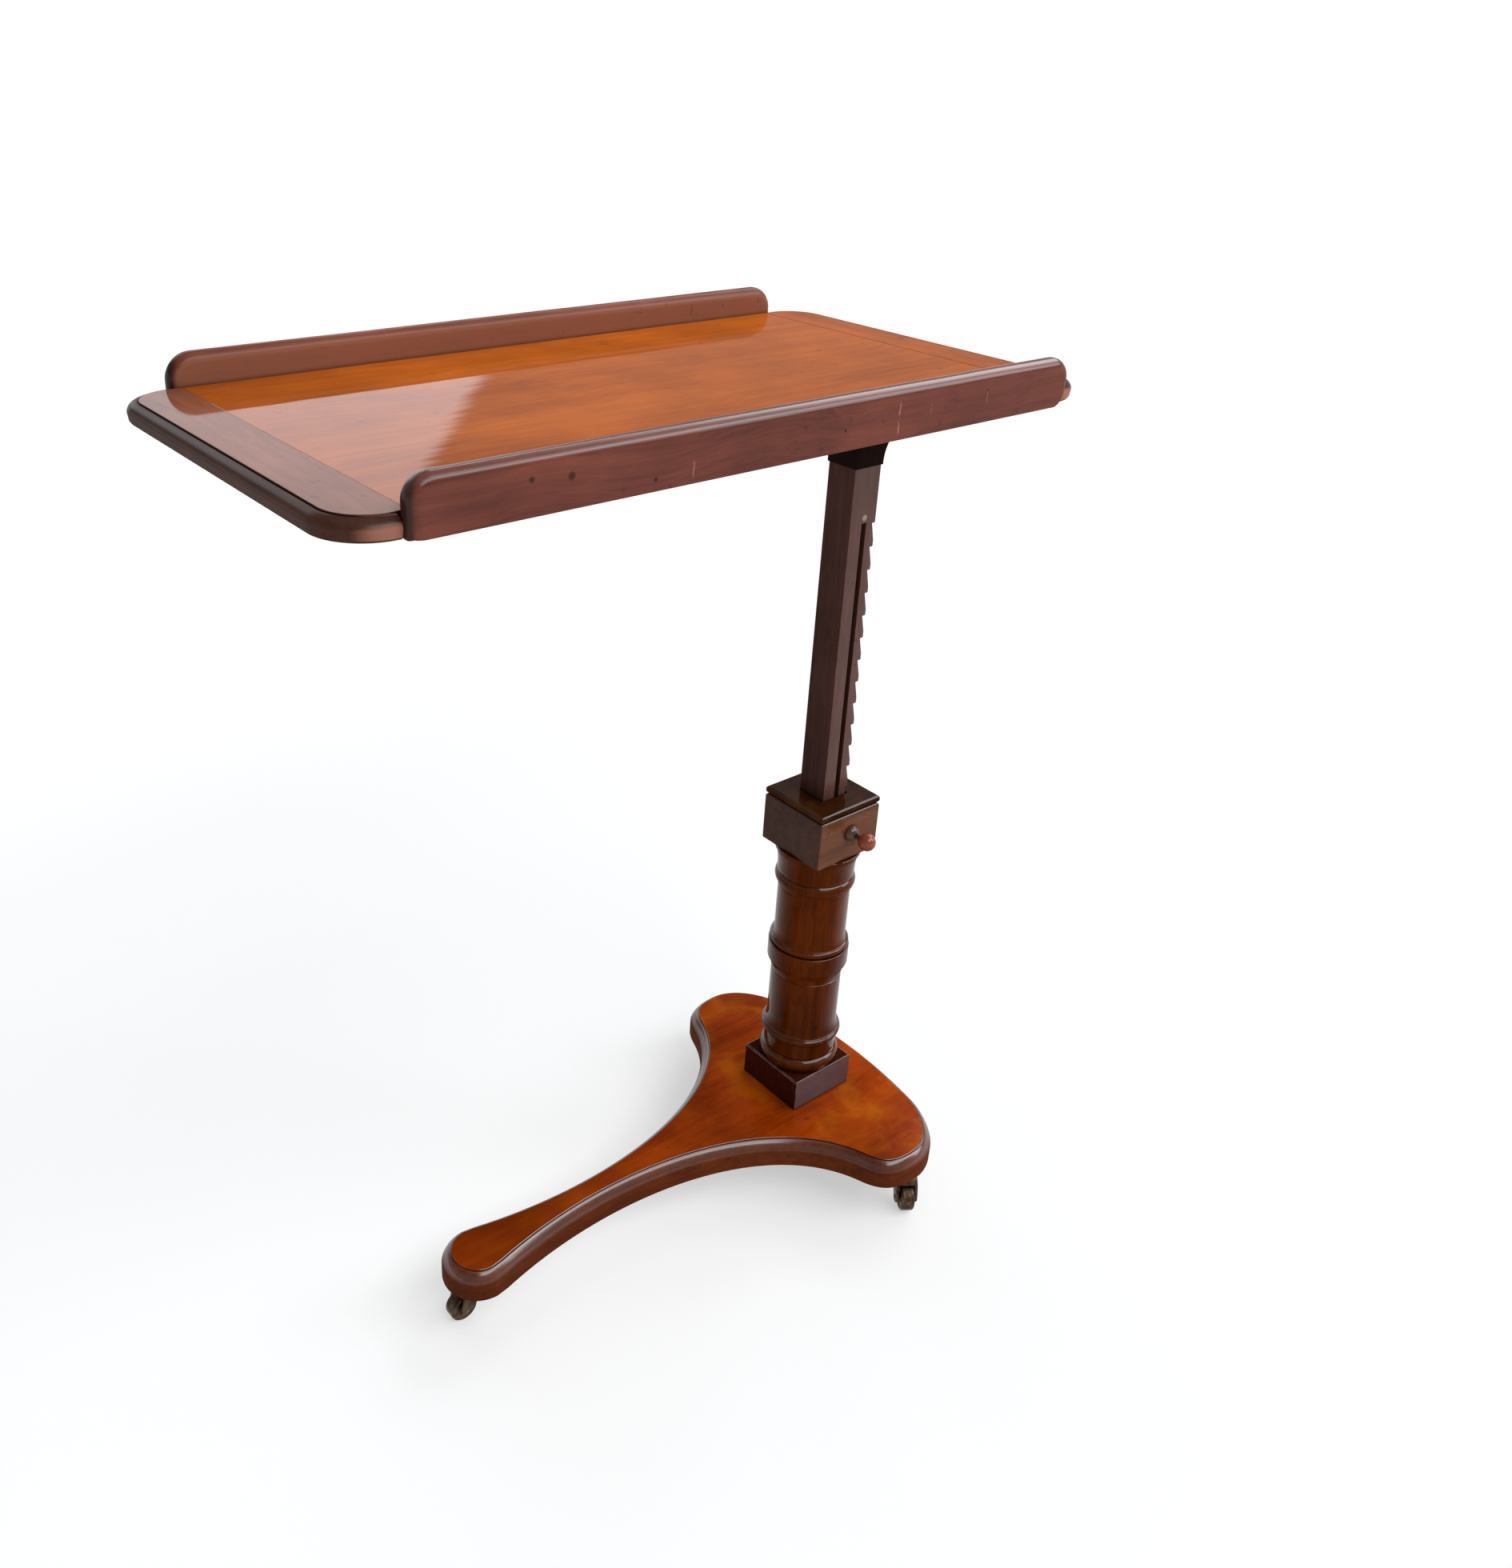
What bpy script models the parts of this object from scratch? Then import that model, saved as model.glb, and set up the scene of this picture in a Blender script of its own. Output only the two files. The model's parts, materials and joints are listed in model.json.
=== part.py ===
"""Height-adjustable library table with an overhanging top, on a turned column and a three-lobed base.

Units are metres and +Z is up. The origin is on the floor, under the middle of the table's box.
The board runs along X, with its long overhang towards -X. The knob of the catch faces -Y.
"""
import math

import bmesh
import bpy
from mathutils import Matrix, Vector

# Fits between pieces
GAP = 0.0003              # between faces that touch
SLIDE_CLEARANCE = 0.0005  # on each side of the sliding post
PIN_CLEARANCE = 0.0003    # round pins, stems and dowels, on the radius

# Board
BOARD_LENGTH = 0.790
BOARD_OVERHANG = 0.096    # column axis to the near end of the board
BOARD_THICKNESS = 0.0177
BOARD_TOP = 1.0111        # height of the writing surface
NOSE_SETBACK = 0.0093     # cleat's moulded edge behind the ledges' outer faces
CLEAT_WIDTH = 0.058
CORNER_RADIUS = 0.046
NOSE_INSET = 0.010        # flat surface to outermost edge
NOSE_STEP = 0.0011        # height of the crisp step above the rounded nose
NOSE_UNDERCUT = 0.0045    # underside of the nose, drawn in
TONGUE_LENGTH = 0.009
TONGUE_THICKNESS = 0.006

# Ledges along both long sides
LEDGE_SETBACK = 0.049     # ends of the ledges behind the ends of the board
LEDGE_SPAN = 0.4226       # outer face to outer face
LEDGE_THICKNESS = 0.020
LEDGE_RISE = 0.028        # above the writing surface
LEDGE_DROP = 0.0003       # below the underside of the board
LEDGE_END_RADIUS = 0.020
LEDGE_FOOT_RADIUS = 0.0015
LEDGE_NOSE = 0.009        # rounding of the upper edges
LEDGE_DOWEL_COUNT = 3
LEDGE_DOWEL_RADIUS = 0.004
LEDGE_DOWEL_LENGTH = 0.032
LEDGE_DOWEL_IN_LEDGE = 0.012

# Bearer and capital under the board
BEARER_LENGTH = 0.084      # along the board
BEARER_WIDTH = 0.300       # across the board
BEARER_THICKNESS = 0.022
BEARER_CHAMFER = 0.008
BEARER_SCREW_X = 0.022
BEARER_SCREW_Y = 0.115
BEARER_SCREW_BITE = 0.011  # into the panel
CAPITAL_SIZE = 0.062
CAPITAL_HEIGHT = 0.078
CAPITAL_COVE = 0.036      # height of the hollow moulding
CAPITAL_LIP = 0.0010      # flat rim round the post at the foot of the hollow
CAPITAL_SCREW_OFFSET = 0.025
CAPITAL_SCREW_BITE = 0.022
POST_SOCKET_DEPTH = 0.060
POST_PEG_RADIUS = 0.0045
POST_PEG_RISE = 0.044     # above the foot of the capital

# Sliding post with its rack
POST_SIZE = 0.038
POST_TAIL = 0.0318        # lower end of the post below the collar's foot
RACK_PITCH = 0.0266
RACK_HEADROOM = 0.050     # left plain at the head of the post, at least
RACK_BELOW = 1            # shoulders below it
RACK_DEPTH = 0.0042
RACK_SLOPE = 0.019        # height over which a notch runs out
GROOVE_WIDTH = 0.0068
GROOVE_DEPTH = 0.0075
GROOVE_RISE = 0.002       # above the highest shoulder
GROOVE_TAIL = 0.0173      # lower end of the groove below the collar's foot
KNOB_X = 0.002            # groove, stem and knob, from the column axis

# Collar
COLLAR_SIZE = 0.093
COLLAR_FOOT = 0.4318
COLLAR_HEIGHT = 0.069     # with its cap
CAP_THICKNESS = 0.009
CAP_ROUND = 0.003
COLLAR_CHAMFER = 0.0035
SPIGOT_RADIUS = 0.036
SPIGOT_LENGTH = 0.010

# Column and plinth
DRUM_RADIUS = 0.0428
RING_RADIUS = 0.0486
NECK_RADIUS = 0.0505
TORUS_RADIUS = 0.0085     # section of the roll at the column's foot
TORUS_RISE = 0.0105       # its middle above the foot
FILLET_DEPTH = 0.0045     # neck between the roll and the low ring
FILLET_HEIGHT = 0.0215
LOW_RING_HEIGHT = 0.009
LOW_HOLLOW_HEIGHT = 0.018
MID_RING_FOOT = 0.271     # above the floor
MID_RING_HEIGHT = 0.0235
MID_BEAD_RADIUS = 0.0035  # small roll on the middle ring
MID_SWELL_HEIGHT = 0.016  # swelling of the drum under the middle ring
MID_HOLLOW_HEIGHT = 0.0215
BEAD_RADIUS = 0.0095      # section of the roll under the collar
BEAD_DROP = 0.0438        # its middle below the collar's foot
BEAD_INSET = 0.001        # behind the rings
NECK_SWELL = 0.0025       # foot of the hollow neck, wider than the drum
NECK_BAND = 0.004         # straight band under the collar
RING_EASE = 0.0008        # easing of the rings' edges
PLINTH_SIZE = 0.0926
PLINTH_HEIGHT = 0.0410
PLINTH_CHAMFER = 0.0015

# Base platform
BASE_TOP = 0.084
BASE_THICKNESS = 0.036
BASE_EDGE_ROUND = 0.0105
BASE_EDGE_STEP = 0.0011
BASE_BACK = 0.1075        # column axis to the back edge
BASE_LOBE_SPAN = 0.383    # across the two short lobes
BASE_LOBE_X = 0.020       # where the lobes are widest
BASE_FOOT_REACH = 0.516   # column axis to the end of the long foot
BASE_FOOT_RADIUS = 0.040  # round end of the long foot
BASE_FOOT_CHAMFER = 0.003  # lower edge
BASE_SHOULDER = (0.077, 0.080)  # back corner, behind a lobe's tip and in from it
BASE_HIP = (0.058, 0.0365)      # end of a lobe's curve, before its tip and in from it
BASE_CURVE = 0.040        # pull of the curves round the back and the lobes
BASE_WAIST = 0.030        # half width that the hollow side is drawn to, near the lobes
BASE_FOOT_PULL = 0.176    # reach of the hollow side's curve from the foot
BASE_FOOT_DIP = 0.005     # how far that curve is drawn past the middle line
BASE_SCREW_OFFSET = 0.034
BASE_SCREW_BITE = 0.024   # into the plinth

# Catch
CATCH_RISE = 0.0346       # stem's axis above the collar's foot
CATCH_TRAVEL = 0.005
STEM_RADIUS = 0.0028
BOSS_RADIUS = 0.0098
BOSS_HEIGHT = 0.0096
BOSS_SPIGOT_RADIUS = 0.006
BOSS_SPIGOT_LENGTH = 0.006
KNOB_RADIUS = 0.0102
KNOB_CENTRE = 0.0255      # from the collar's face to the ball's centre, drawn out
KNOB_NECK_RADIUS = 0.0048
KNOB_SOCKET = 0.012
PLATE_THICKNESS = 0.004
PLATE_RISE = 0.006        # above and beside the stem's axis
PLATE_MARGIN = 0.001      # round the tooth's root
TOOTH_DROP = 0.0104       # top of the tooth, below the stem's axis
TOOTH_HEIGHT = 0.007
TOOTH_WIDTH = 0.0066
TOOTH_REACH = 0.0044      # into the rack when pushed in
TAIL_REACH = 0.0062       # stem into the groove when pushed in
POCKET_DEPTH = 0.0150     # from the post's hole into the collar's front wall
SPRING_THICKNESS = 0.0008

# Castors
CASTOR_TRAIL = 0.020
WHEEL_RADIUS = 0.016
WHEEL_WIDTH = 0.017
WHEEL_EDGE = 0.0045       # rounding of the tread's edges
WHEEL_SIDE_GAP = 0.001
WHEEL_TOP_GAP = 0.0022
FORK_CHEEK = 0.0035
FORK_CROWN_RADIUS = 0.0115
FORK_CROWN_HEIGHT = 0.004
FORK_CURVE = 0.012        # pull of the curves down to the axle
FORK_EYE_RADIUS = 0.0068
PINTLE_RADIUS = 0.005
PINTLE_LENGTH = 0.018
PINTLE_CHAMFER = 0.001
AXLE_RADIUS = 0.0026
AXLE_STAND = 0.0008       # beyond each cheek
CASTOR_PLATE_RADIUS = 0.021
CASTOR_PLATE_THICKNESS = 0.003
CASTOR_SCREW_CIRCLE = 0.0155
CASTOR_SCREW_COUNT = 3
CASTOR_SCREW_BITE = 0.012  # into the base
FOOT_CASTOR_SETBACK = 0.037   # pintle behind the end of the long foot
SIDE_CASTOR_SETBACK = 0.0255  # pintle in from a lobe's tip
SIDE_CASTOR_SHIFT = 0.008     # pintle behind a lobe's tip
CASTOR_HEADINGS = {           # of the trailing wheels, in degrees
    "foot": 180.0,
    "front": -124.0,
    "back": 60.0,
}

# Screws: head radius, shank radius, head height
WOOD_SCREW = (0.0046, 0.0022, 0.0030)
CASTOR_SCREW = (0.0030, 0.0014, 0.0018)
SCREW_POINT = 0.35        # radius of the point, as a share of the shank's

# Facets round turned pieces
ROUND_STEPS = 36          # column
WHEEL_STEPS = 28
KNOB_STEPS = 20
SMALL_STEPS = 16          # stems and axles
SCREW_STEPS = 12

# Places worked out from the sizes above
BOARD_REACH = BOARD_LENGTH - BOARD_OVERHANG
COLUMN_X = (BOARD_REACH - BASE_BACK) / 2
BOARD_LEFT = COLUMN_X - BOARD_REACH
BOARD_RIGHT = BOARD_LEFT + BOARD_LENGTH
BOARD_MIDDLE = (BOARD_LEFT + BOARD_RIGHT) / 2
BOARD_UNDER = BOARD_TOP - BOARD_THICKNESS
LEDGE_LENGTH = BOARD_LENGTH - 2 * LEDGE_SETBACK
LEDGE_INNER = LEDGE_SPAN / 2 - LEDGE_THICKNESS
PANEL_HALF_DEPTH = LEDGE_INNER - GAP
LEDGE_FOOT = BOARD_UNDER - LEDGE_DROP
BEARER_TOP = BOARD_UNDER - GAP
BEARER_FOOT = BEARER_TOP - BEARER_THICKNESS
CAPITAL_TOP = BEARER_FOOT - GAP
CAPITAL_FOOT = CAPITAL_TOP - CAPITAL_HEIGHT
POST_TOP = CAPITAL_FOOT + POST_SOCKET_DEPTH - GAP
POST_FOOT = COLLAR_FOOT - POST_TAIL
POST_HALF = POST_SIZE / 2
HOLE_SIZE = POST_SIZE + 2 * SLIDE_CLEARANCE
COLLAR_TOP = COLLAR_FOOT + COLLAR_HEIGHT
CAP_FOOT = COLLAR_TOP - CAP_THICKNESS
COLLAR_FACE = COLLAR_SIZE / 2
PLINTH_FOOT = BASE_TOP + GAP
PLINTH_TOP = PLINTH_FOOT + PLINTH_HEIGHT
COLUMN_FOOT = PLINTH_TOP + GAP
COLUMN_TOP = COLLAR_FOOT - GAP
BEAD_LEVEL = COLLAR_FOOT - BEAD_DROP
BASE_FOOT = BASE_TOP - BASE_THICKNESS
CASTOR_PLATE_FOOT = BASE_FOOT - GAP - CASTOR_PLATE_THICKNESS
FORK_TOP = CASTOR_PLATE_FOOT - GAP
SIDE_CASTOR_X = BASE_LOBE_X + SIDE_CASTOR_SHIFT
SIDE_CASTOR_Y = BASE_LOBE_SPAN / 2 - SIDE_CASTOR_SETBACK
CASTOR_PLACES = {             # from the column axis
    "foot": (FOOT_CASTOR_SETBACK - BASE_FOOT_REACH, 0.0),
    "front": (SIDE_CASTOR_X, -SIDE_CASTOR_Y),
    "back": (SIDE_CASTOR_X, SIDE_CASTOR_Y),
}
CATCH_HEIGHT = COLLAR_FOOT + CATCH_RISE
TOOTH_TOP = CATCH_HEIGHT - TOOTH_DROP
TOOTH_FOOT = TOOTH_TOP - TOOTH_HEIGHT
TOOTH_LEFT = COLUMN_X + POST_HALF - RACK_DEPTH + 3 * GAP
TOOTH_RIGHT = TOOTH_LEFT + TOOTH_WIDTH
PLATE_TOP = CATCH_HEIGHT + PLATE_RISE
PLATE_FOOT = TOOTH_FOOT - PLATE_MARGIN
PLATE_LEFT = COLUMN_X + KNOB_X - PLATE_RISE
PLATE_RIGHT = TOOTH_RIGHT + PLATE_MARGIN
PLATE_BACK = -POST_HALF - GAP - CATCH_TRAVEL  # with the knob drawn out
PLATE_FRONT = PLATE_BACK - PLATE_THICKNESS
POCKET_LEFT = PLATE_LEFT - 8 * GAP
POCKET_RIGHT = PLATE_RIGHT + 4 * GAP
POCKET_FRONT = -HOLE_SIZE / 2 - POCKET_DEPTH
RACK_FIRST = TOOTH_TOP + 2 * GAP              # shoulder that stands over the tooth
RACK_ABOVE = int((CAPITAL_FOOT - RACK_HEADROOM - RACK_FIRST) / RACK_PITCH)
RACK_TOP = RACK_FIRST + RACK_ABOVE * RACK_PITCH
GROOVE_FOOT = COLLAR_FOOT - GROOVE_TAIL
GROOVE_TOP = RACK_TOP + GROOVE_RISE

# Colours: linear red, green and blue, roughness, metallic
BOARD_WOOD = ((0.42, 0.15, 0.055), 0.16, 0.0)
LEDGE_WOOD = ((0.13, 0.05, 0.038), 0.25, 0.0)
DARK_WOOD = ((0.035, 0.018, 0.013), 0.35, 0.0)
COLUMN_WOOD = ((0.085, 0.028, 0.014), 0.25, 0.0)
BASE_WOOD = ((0.27, 0.075, 0.018), 0.3, 0.0)
KNOB_WOOD = ((0.2, 0.06, 0.035), 0.22, 0.0)
PALE_WOOD = ((0.45, 0.28, 0.13), 0.6, 0.0)
IRON = ((0.06, 0.055, 0.05), 0.5, 1.0)
BRONZE = ((0.14, 0.095, 0.06), 0.45, 1.0)


def clear_scene():
    for item in list(bpy.data.objects):
        bpy.data.objects.remove(item, do_unlink=True)


def finish(bm, name, look, smooth_angle=35.0):
    """Turn a bmesh into a named object with its own material."""
    bmesh.ops.recalc_face_normals(bm, faces=bm.faces)
    mesh = bpy.data.meshes.new(name)
    bm.to_mesh(mesh)
    bm.free()
    mesh.shade_smooth()
    mesh.set_sharp_from_angle(angle=math.radians(smooth_angle))
    item = bpy.data.objects.new(name, mesh)
    bpy.context.collection.objects.link(item)
    if look is not None:
        colour, roughness, metallic = look
        material = bpy.data.materials.new(name)
        material.use_nodes = True
        shader = material.node_tree.nodes["Principled BSDF"]
        shader.inputs["Base Color"].default_value = (*colour, 1.0)
        shader.inputs["Roughness"].default_value = roughness
        shader.inputs["Metallic"].default_value = metallic
        mesh.materials.append(material)
    return item


def add_loft(bm, loops, closed=False):
    """Join rings of points, which all have the same count, into one closed body."""
    rings = [[bm.verts.new(point) for point in loop] for loop in loops]
    count = len(rings[0])
    pairs = list(zip(rings, rings[1:]))
    if closed:
        pairs.append((rings[-1], rings[0]))
    for lower, upper in pairs:
        for i in range(count):
            j = (i + 1) % count
            bm.faces.new((lower[i], lower[j], upper[j], upper[i]))
    if not closed:
        bm.faces.new(rings[0])
        bm.faces.new(rings[-1])


def add_box(bm, low, high):
    x0, y0, z0 = low
    x1, y1, z1 = high
    loops = []
    for z in (z0, z1):
        loops.append([(x0, y0, z), (x1, y0, z), (x1, y1, z), (x0, y1, z)])
    add_loft(bm, loops)


def ring(radius, height, steps, frame):
    """Points of a circle in the XY plane of a frame, at a height along its Z axis."""
    points = []
    for i in range(steps):
        angle = 2 * math.pi * i / steps
        points.append(frame @ Vector((radius * math.cos(angle), radius * math.sin(angle), height)))
    return points


def add_turned(bm, profile, frame, steps=SMALL_STEPS, closed=False):
    """A turned body from (radius, height) pairs. A closed profile leaves a hole along the axis."""
    add_loft(bm, [ring(radius, height, steps, frame) for radius, height in profile], closed)


def upright(x, y, z):
    return Matrix.Translation((x, y, z))


def facing_front(x, y, z):
    """A frame whose Z axis points to -Y."""
    return Matrix.Translation((x, y, z)) @ Matrix.Rotation(math.pi / 2, 4, "X")


def square_ring(size, z, x=0.0, y=0.0):
    half = size / 2
    return [(x + sx * half, y + sy * half, z) for sx, sy in ((-1, -1), (1, -1), (1, 1), (-1, 1))]


def cut(item, build_cutter):
    """Subtract one body, or several that stand apart, made by a function that fills a bmesh."""
    bm = bmesh.new()
    build_cutter(bm)
    cutter = finish(bm, f"cutter.{item.name}.{len(item.modifiers)}", None)
    cutter.hide_render = True
    cutter.display_type = "WIRE"
    change = item.modifiers.new("cut", "BOOLEAN")
    change.operation = "DIFFERENCE"
    change.solver = "EXACT"
    change.object = cutter
    return item


def join(item, build_extra):
    """Unite one more body with an object."""
    bm = bmesh.new()
    build_extra(bm)
    extra = finish(bm, f"extra.{item.name}.{len(item.modifiers)}", None)
    extra.hide_render = True
    extra.display_type = "WIRE"
    change = item.modifiers.new("join", "BOOLEAN")
    change.operation = "UNION"
    change.solver = "EXACT"
    change.object = extra
    return item


def screw_profile(kind, length, clearance=0.0):
    """A countersunk screw, head at height 0 and point at +length."""
    head, shank, head_height = kind
    return [
        (head + clearance, -clearance),
        (shank + clearance, head_height),
        (shank + clearance, length - 2 * shank),
        (shank * SCREW_POINT + clearance, length + clearance),
    ]


def arc(centre, radius, start, stop, steps):
    """Points of an arc between two angles in degrees, both ends included."""
    points = []
    for i in range(steps + 1):
        angle = math.radians(start + (stop - start) * i / steps)
        points.append((centre[0] + radius * math.cos(angle), centre[1] + radius * math.sin(angle)))
    return points


def bezier(a, b, c, d, steps):
    """Points of a cubic curve, with its first end and without its last."""
    points = []
    for i in range(steps):
        t = i / steps
        s = 1 - t
        weights = (s ** 3, 3 * s * s * t, 3 * s * t * t, t ** 3)
        x = sum(w * p[0] for w, p in zip(weights, (a, b, c, d)))
        y = sum(w * p[1] for w, p in zip(weights, (a, b, c, d)))
        points.append((x, y))
    return points


# Top


def cleat_outline(inset, side):
    """Outline of one end cleat. Only the moulded outer edge is drawn in by the inset."""
    joint = CLEAT_WIDTH
    notch = (BOARD_LENGTH - LEDGE_LENGTH) / 2 - GAP
    half = LEDGE_SPAN / 2 - NOSE_SETBACK
    radius = min(CORNER_RADIUS, notch - 2 * GAP)
    draw_in = min(inset, half - PANEL_HALF_DEPTH - GAP)
    centre_y = half - radius
    points = [(joint, PANEL_HALF_DEPTH), (notch, PANEL_HALF_DEPTH), (notch, half - draw_in)]
    points += arc((radius, centre_y), radius - draw_in, 90, 180, 10)
    points += arc((radius, -centre_y), radius - draw_in, 180, 270, 10)
    points += [(notch, draw_in - half), (notch, -PANEL_HALF_DEPTH), (joint, -PANEL_HALF_DEPTH)]
    end = BOARD_LEFT if side < 0 else BOARD_RIGHT
    return [(end - side * x, y) for x, y in points]


def make_cleat(name, side):
    nose = BOARD_THICKNESS - NOSE_STEP
    levels = [(NOSE_UNDERCUT, 0.0), (NOSE_UNDERCUT / 4, NOSE_UNDERCUT / 2)]
    for i in range(6):
        angle = math.radians(90 * i / 5)
        levels.append((NOSE_INSET * (1 - math.cos(angle)), nose / 2 + nose / 2 * math.sin(angle)))
    levels.append((NOSE_INSET, BOARD_THICKNESS))
    bm = bmesh.new()
    loops = []
    for inset, height in levels:
        loops.append([(x, y, BOARD_UNDER + height) for x, y in cleat_outline(inset, side)])
    add_loft(bm, loops)
    item = finish(bm, name, BOARD_WOOD)
    joint = (BOARD_LEFT if side < 0 else BOARD_RIGHT) - side * CLEAT_WIDTH
    depth = TONGUE_LENGTH + GAP
    middle = BOARD_UNDER + BOARD_THICKNESS / 2
    half = TONGUE_THICKNESS / 2 + GAP
    ends = sorted((joint - side * depth, joint + side * depth))

    def groove(cutter):
        reach = PANEL_HALF_DEPTH + 2 * GAP
        add_box(cutter, (ends[0], -reach, middle - half), (ends[1], reach, middle + half))

    return cut(item, groove)


def dowel_places():
    spacing = LEDGE_LENGTH / LEDGE_DOWEL_COUNT
    first = BOARD_MIDDLE - LEDGE_LENGTH / 2 + spacing / 2
    return [first + i * spacing for i in range(LEDGE_DOWEL_COUNT)]


def add_ledge_dowel(bm, x, side, clearance=0.0):
    """A dowel that joins a ledge to the panel's edge. The side is -1 at the front and +1 at the back."""
    outer = LEDGE_INNER + LEDGE_DOWEL_IN_LEDGE
    chamfer = LEDGE_DOWEL_RADIUS * 0.25
    frame = facing_front(x, side * outer, BOARD_UNDER + BOARD_THICKNESS / 2)
    if side < 0:
        frame = frame @ Matrix.Rotation(math.pi, 4, "X")
    add_turned(bm, [
        (LEDGE_DOWEL_RADIUS - chamfer + clearance, -clearance),
        (LEDGE_DOWEL_RADIUS + clearance, chamfer),
        (LEDGE_DOWEL_RADIUS + clearance, LEDGE_DOWEL_LENGTH - chamfer),
        (LEDGE_DOWEL_RADIUS - chamfer + clearance, LEDGE_DOWEL_LENGTH + clearance),
    ], frame, SCREW_STEPS)


def add_ledge_dowel_holes(bm, side):
    for x in dowel_places():
        add_ledge_dowel(bm, x, side, PIN_CLEARANCE)


def corner_places(offset_x, offset_y):
    """Four places round the column axis."""
    return [(COLUMN_X + sx * offset_x, sy * offset_y) for sx in (-1, 1) for sy in (-1, 1)]


def add_bearer_screw(bm, x, y, clearance=0.0):
    """A screw from below, through the bearer and up into the panel."""
    profile = screw_profile(WOOD_SCREW, BEARER_THICKNESS + BEARER_SCREW_BITE, clearance)
    add_turned(bm, profile, upright(x, y, BEARER_FOOT + 2 * GAP), SCREW_STEPS)


def add_bearer_screw_holes(bm):
    for x, y in corner_places(BEARER_SCREW_X, BEARER_SCREW_Y):
        add_bearer_screw(bm, x, y, PIN_CLEARANCE)


def make_panel():
    joint_left = BOARD_LEFT + CLEAT_WIDTH + GAP
    joint_right = BOARD_RIGHT - CLEAT_WIDTH - GAP
    low = BOARD_UNDER + BOARD_THICKNESS / 2 - TONGUE_THICKNESS / 2
    high = low + TONGUE_THICKNESS
    tip_left = joint_left - TONGUE_LENGTH + GAP
    tip_right = joint_right + TONGUE_LENGTH - GAP
    outline = [
        (joint_left, BOARD_UNDER), (joint_right, BOARD_UNDER), (joint_right, low),
        (tip_right, low), (tip_right, high), (joint_right, high),
        (joint_right, BOARD_TOP), (joint_left, BOARD_TOP), (joint_left, high),
        (tip_left, high), (tip_left, low), (joint_left, low),
    ]
    bm = bmesh.new()
    add_loft(bm, [[(x, y, z) for x, z in outline] for y in (-PANEL_HALF_DEPTH, PANEL_HALF_DEPTH)])
    item = finish(bm, "top_panel", BOARD_WOOD)
    for side in (-1, 1):
        cut(item, lambda cutter: add_ledge_dowel_holes(cutter, side))
    return cut(item, add_bearer_screw_holes)


def ledge_outline(inset, foot_radius_right):
    """Outline of a ledge seen from the front. The inset draws in the ends and the top, not the foot."""
    half = LEDGE_LENGTH / 2
    top = BOARD_TOP + LEDGE_RISE
    radius = LEDGE_END_RADIUS
    low_inset = min(inset, LEDGE_FOOT_RADIUS)
    right = foot_radius_right
    points = arc((half - right, LEDGE_FOOT + right), right - low_inset, -90, 0, 5)
    points += arc((half - radius, top - radius), radius - inset, 0, 90, 6)
    points += arc((radius - half, top - radius), radius - inset, 90, 180, 6)
    points += arc((2 * LEDGE_FOOT_RADIUS - half, LEDGE_FOOT + 2 * LEDGE_FOOT_RADIUS),
                  2 * LEDGE_FOOT_RADIUS - low_inset, 180, 270, 2)
    return [(BOARD_MIDDLE + x, z) for x, z in points]


def make_ledge(name, side, foot_radius_right):
    inner = side * LEDGE_INNER
    levels = []
    for i in range(4):
        angle = math.radians(90 * i / 3)
        levels.append((LEDGE_NOSE * (1 - math.sin(angle)), LEDGE_NOSE * (1 - math.cos(angle))))
    far = [(inset, LEDGE_THICKNESS - depth) for inset, depth in reversed(levels)]
    bm = bmesh.new()
    loops = []
    for inset, depth in levels + far:
        y = inner + side * depth
        loops.append([(x, y, z) for x, z in ledge_outline(inset, foot_radius_right)])
    add_loft(bm, loops)
    item = finish(bm, name, LEDGE_WOOD)
    return cut(item, lambda cutter: add_ledge_dowel_holes(cutter, side))


def add_capital_screw(bm, x, y, clearance=0.0):
    """A screw from above, through the bearer and down into the capital."""
    profile = screw_profile(WOOD_SCREW, BEARER_THICKNESS + CAPITAL_SCREW_BITE, clearance)
    frame = upright(x, y, BEARER_TOP - 2 * GAP) @ Matrix.Rotation(math.pi, 4, "X")
    add_turned(bm, profile, frame, SCREW_STEPS)


def add_capital_screw_holes(bm):
    for x, y in corner_places(CAPITAL_SCREW_OFFSET, CAPITAL_SCREW_OFFSET):
        add_capital_screw(bm, x, y, PIN_CLEARANCE)


def make_bearer():
    half_x = BEARER_LENGTH / 2
    half_y = BEARER_WIDTH / 2
    bm = bmesh.new()
    loops = []
    for inset, z in ((BEARER_CHAMFER, BEARER_FOOT), (0.0, BEARER_FOOT + BEARER_CHAMFER), (0.0, BEARER_TOP)):
        x = half_x - inset
        y = half_y - inset
        loops.append([(COLUMN_X + sx * x, sy * y, z) for sx, sy in ((-1, -1), (1, -1), (1, 1), (-1, 1))])
    add_loft(bm, loops)
    item = finish(bm, "top_bearer", DARK_WOOD)
    cut(item, add_bearer_screw_holes)
    return cut(item, add_capital_screw_holes)


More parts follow.
